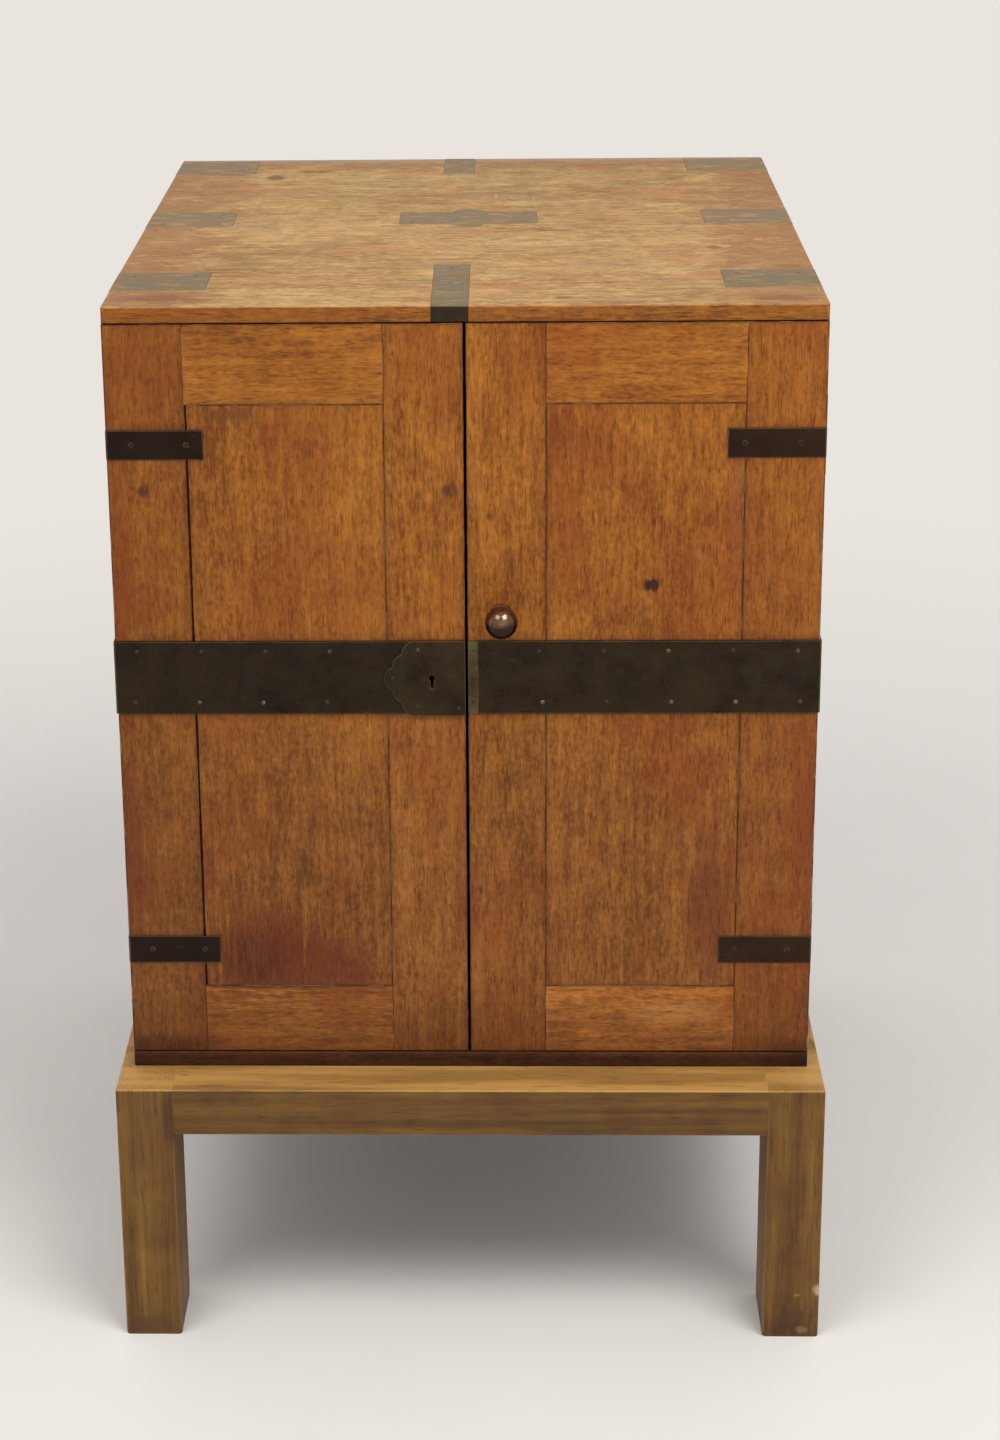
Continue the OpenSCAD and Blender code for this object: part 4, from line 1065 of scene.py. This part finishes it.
def side_screws(side, sign):
    """Screws of the side's straps, the handle's plate and the drops of the top's straps."""
    outward = (sign, 0, 0)
    node = "side_straps_" + side
    low, high, face = outer_face(node, sign)
    for height in strap_middles(node, Z):
        for inward in (10 * MM, 34 * MM, 58 * MM):
            yield (face, low[Y] + inward, height), outward
    low, high, face = outer_face("handle_plate_" + side, sign)
    inset = 5 * MM
    for y in (low[Y] + inset, (low[Y] + high[Y]) / 2, high[Y] - inset):
        for height in (low[Z] + inset, high[Z] - inset):
            yield (face, y, height), outward
    node = "top_straps_" + side
    low, high, face = outer_face(node, sign)
    for y in strap_middles(node, Y):
        for across in (-16 * MM, 16 * MM):
            yield (face, y + across, low[Z] + 10 * MM), outward


def top_level(node, proud):
    """Screws in the top lie a little lower, because the brass there is worn flush."""
    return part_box(node)[1][Z] - proud * 0.85


def top_strap_screws(side, sign, proud):
    node = "top_straps_" + side
    face = outer_face(node, sign)[2]
    for y in strap_middles(node, Y):
        for across in (-17 * MM, 17 * MM):
            for inward in (13 * MM, 57 * MM):
                yield (face - sign * inward, y + across, top_level(node, proud)), UP


def middle_screws(proud):
    """Screws of the top's plate and of its straps at the front and the back."""
    low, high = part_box("top_strap_front")
    middle = (low[X] + high[X]) / 2
    for y in (low[Y] + 16 * MM, low[Y] + 66 * MM, high[Y] - 12 * MM):
        yield (middle, y, top_level("top_strap_front", proud)), UP
    low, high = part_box("top_strap_back")
    for y in (low[Y] + 12 * MM, high[Y] - 16 * MM):
        yield (middle, y, top_level("top_strap_back", proud)), UP
    yield (middle, high[Y], low[Z] + 10 * MM), BACK
    low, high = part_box("top_plate")
    centre = (low + high) / 2
    for x in (-45 * MM, 45 * MM):
        for y in (-15 * MM, 15 * MM):
            yield (centre.x + x, centre.y + y, top_level("top_plate", proud)), UP


def lock_plate_pins():
    low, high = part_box("lock_plate")
    middle = (low[Z] + high[Z]) / 2
    for x, z in ((-5, 23), (-5, -23), (-34, 22), (-34, -22), (-52, 0)):
        yield (high[X] + x * MM, low[Y], middle + z * MM), FRONT


def strike_pins():
    low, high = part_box("strike_plate")
    for height in (high[Z] - 7 * MM, (low[Z] + high[Z]) / 2, low[Z] + 9 * MM):
        yield (low[X] + 3.6 * MM, low[Y], height), FRONT


def hinge_screws(node, sign, facing, proud):
    """Screws on the faces of the leaves that the open doors uncover, their heads let in a little."""
    low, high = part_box(node)
    # The knuckles take up the outer part of a leaf's box
    middle = (low[X] + high[X]) / 2 - sign * 1.6 * MM
    way = facing[Y]
    places = [v.co for v in frame["nodes"][node].data.vertices]
    inner = min(abs(place.x) for place in places)
    leaf = way * max(way * place.y for place in places if abs(abs(place.x) - inner) < 0.1 * MM)
    for height in strap_middles(node, Z):
        for up in (-20 * MM, 0.0, 20 * MM):
            yield (middle, leaf - way * proud * 0.4, height + up), facing


def guide_screws():
    """Screws in the plates of the door bolts' guides, two pairs at each end of the door."""
    low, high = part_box("bolt_guides")
    middle = (low[X] + high[X]) / 2
    thick = 1.2 * MM
    plate = min(v.co.y for v in frame["nodes"]["bolt_guides"].data.vertices) + thick
    for end, way in ((low[Z], 1), (high[Z], -1)):
        for along in (12 * MM, 46 * MM):
            for across in (-6.3 * MM, 6.3 * MM):
                yield (middle + across, plate, end + way * along), BACK


class CHEST_OT_fixings(ChestOperator, bpy.types.Operator):
    """Makes one screw and one pin, and sets them in the brass"""

    bl_idname = "chest.fixings"
    bl_label = "Screws and pins"

    def build(self, scene):
        wear = scene.chest_wear
        brass = scene.chest_brass
        proud = wear.proud
        screw = self.head("screw", wear.screw, proud, True)
        pin = self.head("pin", wear.pin, proud, False)
        dull = fixing_finish("screw_brass", shaded(brass.rim, 0.66), True)
        # The pins are rubbed brass painted lighter, partly as a painted highlight on their heads
        pin_rub_and_glint = fixing_finish("pin_brass_glint", shaded(brass.rim, 1.0), False)
        grey = fixing_finish("top_screw_brass", brass.top_grey, True)
        for side, sign in SIDES.items():
            door = side + "_door"
            case_leaves = hinge_screws("hinge_case_leaves_" + side, sign, FRONT, proud)
            door_leaves = hinge_screws("hinge_door_leaves_" + side, sign, BACK, proud)
            on_top = top_strap_screws(side, sign, proud)
            self.set_heads(side + "_band_pins", door, pin, pin_rub_and_glint, door_band_pins(side, sign))
            self.set_heads(side + "_strap_screws", door, screw, dull, door_strap_screws(side, sign))
            self.set_heads(f"side_{side}_pins", "chest", pin, pin_rub_and_glint, side_band_pins(side, sign))
            self.set_heads(f"side_{side}_screws", "chest", screw, dull, side_screws(side, sign))
            self.set_heads(f"top_{side}_screws", "chest", screw, grey, on_top, "top_brass")
            self.set_heads(f"hinge_{side}_case_screws", "chest", screw, dull, case_leaves)
            self.set_heads(f"hinge_{side}_door_screws", door, screw, dull, door_leaves)
        self.set_heads("top_middle_screws", "chest", screw, grey, middle_screws(proud), "top_brass")
        self.set_heads("lock_plate_pins", "left_door", pin, dull, lock_plate_pins())
        self.set_heads("strike_pins", "right_door", pin, pin_rub_and_glint, strike_pins(), "worn_brass")
        self.set_heads("guide_screws", "left_door", screw, dull, guide_screws())
        bpy.data.objects.remove(screw)
        bpy.data.objects.remove(pin)

    def head(self, name, radius, proud, slotted):
        """A flat head, its rim turned down to height 0, with a slot if it is a screw's."""
        deep = 0.8 * MM
        half_slot = 0.3 * MM

        def on_top(face):
            return face.normal.z > 0.99 and abs(face.center.z - proud) < 0.02 * MM

        def recessed(face):
            x, y, z = face.center
            inside = abs(x) < half_slot + 0.01 * MM and math.hypot(x, y) < radius * 0.8
            return slotted and inside and -0.5 * MM < z < proud * 0.9

        bpy.ops.mesh.primitive_cylinder_add(
            vertices=12, radius=radius, depth=deep, location=(0, 0, -deep / 2)
        )
        made = bpy.context.object
        made.name = name + "_model"
        bpy.ops.object.transform_apply(location=True, rotation=True, scale=True)
        mode("EDIT")
        pick_faces(made, lambda face: face.normal.z > 0.9)
        bpy.ops.mesh.inset(thickness=radius * 0.22, depth=0.0)
        bpy.ops.transform.translate(value=(0, 0, proud))
        if slotted:
            for edge in (-half_slot, half_slot):
                pick_faces(made, on_top)
                bpy.ops.mesh.bisect(plane_co=(edge, 0, 0), plane_no=(1, 0, 0))
            pick_faces(made, lambda face: on_top(face) and abs(face.center.x) < 0.1 * MM)
            bpy.ops.mesh.extrude_region_move(TRANSFORM_OT_translate={"value": (0, 0, -proud - 0.2 * MM)})
        else:
            bpy.ops.mesh.inset(thickness=radius * 0.35, depth=0.0)
            bpy.ops.transform.translate(value=(0, 0, proud * 0.5))
        mode("OBJECT")
        # The slot's faces are marked for painted shade and grime
        face_mark(made, "slot_dirt_and_shade", recessed)
        return made

    def set_heads(self, name, body, model, finish, places, slot="dark_brass"):
        """Copies the model to each place, which is a point and the way that it faces, as one piece."""
        copies = []
        bpy.ops.object.select_all(action="DESELECT")
        for number, (point, facing) in enumerate(places):
            turn = Vector(facing).to_track_quat("Z", "Y").to_matrix().to_4x4()
            spin = Matrix.Rotation(math.radians(37 * number + 15), 4, "Z")
            mesh = model.data.copy()
            mesh.transform(Matrix.Translation(point) @ turn @ spin)
            copy = bpy.data.objects.new(name, mesh)
            bpy.context.scene.collection.objects.link(copy)
            copy.select_set(True)
            copies.append(copy)
        piece = copies[0]
        bpy.context.view_layer.objects.active = piece
        bpy.ops.object.join()
        paint(piece, finish)
        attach(piece, body)


class CHEST_OT_knob(ChestOperator, bpy.types.Operator):
    """Turns the knob of the right door"""

    bl_idname = "chest.knob"
    bl_label = "Knob"

    # The rose and the neck: how far ahead of the door, and radius, in mm
    profile = [
        (0, 2.5), (0, 8.5), (1.5, 8.5), (2.2, 8.15), (2.4, 7.6), (2.5, 6.2), (3.2, 6.05), (3.6, 5.4),
        (4.2, 4.5), (5.2, 4.0),
    ]

    def build(self, scene):
        low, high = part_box("knob")
        middle = (low[X] + high[X]) / 2
        height = (low[Z] + high[Z]) / 2
        ball = (high[X] - low[X]) / 2
        shank = self.profile[0][1] * MM
        neck = self.profile[-1][1] * MM
        turned = [(DOOR_FACE - ahead * MM, radius * MM) for ahead, radius in self.profile]
        first = math.asin(neck / ball)
        last = math.pi - 0.04
        rings = 26
        for number in range(rings + 1):
            turn = first + (last - first) * number / rings
            turned.append((low[Y] + ball + ball * math.cos(turn), ball * math.sin(turn)))
        bpy.ops.mesh.primitive_circle_add(
            vertices=56, radius=shank, fill_type="NGON", location=(middle, high[Y], height),
            rotation=(math.pi / 2, 0, 0),
        )
        knob = bpy.context.object
        knob.name = "knob_turned"
        bpy.ops.object.transform_apply(location=True, rotation=True, scale=True)
        mode("EDIT")
        bpy.ops.mesh.select_mode(type="FACE")
        bpy.ops.mesh.select_all(action="SELECT")
        at, radius = high[Y], shank
        for y, next_radius in turned:
            bpy.ops.mesh.extrude_region_move(TRANSFORM_OT_translate={"value": (0, y - at, 0)})
            ratio = next_radius / radius
            bpy.ops.transform.resize(value=(ratio, 1, ratio), center_override=(middle, y, height))
            at, radius = y, next_radius
        bpy.ops.mesh.select_all(action="SELECT")
        bpy.ops.mesh.normals_make_consistent(inside=False)
        mode("OBJECT")
        bpy.ops.object.shade_smooth_by_angle(angle=math.radians(35))
        # The lower half of the ball is darker as tarnish and painted shade
        bronze = rubbed_finish("knob_bronze", scene.chest_brass.knob, 0.95, 0.16, height)
        knob.data.materials.append(bronze)
        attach(knob, "right_door")
        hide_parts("knob")


class CHEST_OT_hardware(ChestOperator, bpy.types.Operator):
    """Finishes the hinges, lock, bolts and handles, whose shapes are right as they are"""

    bl_idname = "chest.hardware"
    bl_label = "Hinges, lock and handles"

    def build(self, scene):
        brass = scene.chest_brass
        nodes = frame["nodes"]
        hinge = patina_finish("hinge_brass", 1.1, 0.25, 41.0)
        for side in SIDES:
            for part in ("hinge_case_leaves_", "hinge_door_leaves_", "hinge_pins_"):
                paint(nodes[part + side], hinge)
            plate = patina_finish("handle_plate_brass_" + side, 1.25, 0.3, 43.0)
            paint(nodes["handle_plate_" + side], plate)
            paint(nodes["handle_" + side], rubbed_finish("handle_brass_" + side, brass.rubbed, 0.9, 0.3))
        paint(nodes["bolt_guides"], patina_finish("bolt_guide_brass", 1.5, 0.2, 47.0))
        for node in ("upper_bolt", "lower_bolt", "lock_bolt", "knob_nut"):
            paint(nodes[node], rubbed_finish(node + "_brass", brass.rubbed))
        paint(nodes["lock_case"], iron_finish("lock_case_iron"))


class CHEST_PT_panel(bpy.types.Panel):
    """Sidebar panel of the chest"""

    bl_label = "Travelling chest"
    bl_idname = "CHEST_PT_panel"
    bl_space_type = "VIEW_3D"
    bl_region_type = "UI"
    bl_category = "Chest"

    def draw(self, context):
        for name in GROUPS:
            box = self.layout.box()
            group = getattr(context.scene, name)
            for prop in group.__annotations__:
                box.prop(group, prop)
        for operator in OPERATORS:
            self.layout.operator(operator.bl_idname)


GROUPS = {
    "chest_wood": CHEST_PG_wood,
    "chest_brass": CHEST_PG_brass,
    "chest_wear": CHEST_PG_wear,
    "chest_stage": CHEST_PG_stage,
}
OPERATORS = [
    CHEST_OT_stage, CHEST_OT_stand, CHEST_OT_case, CHEST_OT_doors,
    CHEST_OT_brass, CHEST_OT_fixings, CHEST_OT_knob, CHEST_OT_hardware,
]


def register():
    for cls in [*GROUPS.values(), *OPERATORS, CHEST_PT_panel]:
        bpy.utils.register_class(cls)
    for name, group in GROUPS.items():
        setattr(bpy.types.Scene, name, PointerProperty(type=group))


def unregister():
    for name in GROUPS:
        delattr(bpy.types.Scene, name)
    for cls in [CHEST_PT_panel, *reversed(OPERATORS), *reversed(GROUPS.values())]:
        bpy.utils.unregister_class(cls)


def main():
    register()
    for operator in OPERATORS:
        family, name = operator.bl_idname.split(".")
        getattr(getattr(bpy.ops, family), name)()
    boxes = {"cad": CAD_BOX, "visual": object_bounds()}
    {name: [list(corner) for corner in box] for name, box in boxes.items()}


if __name__ == "__main__":
    main()
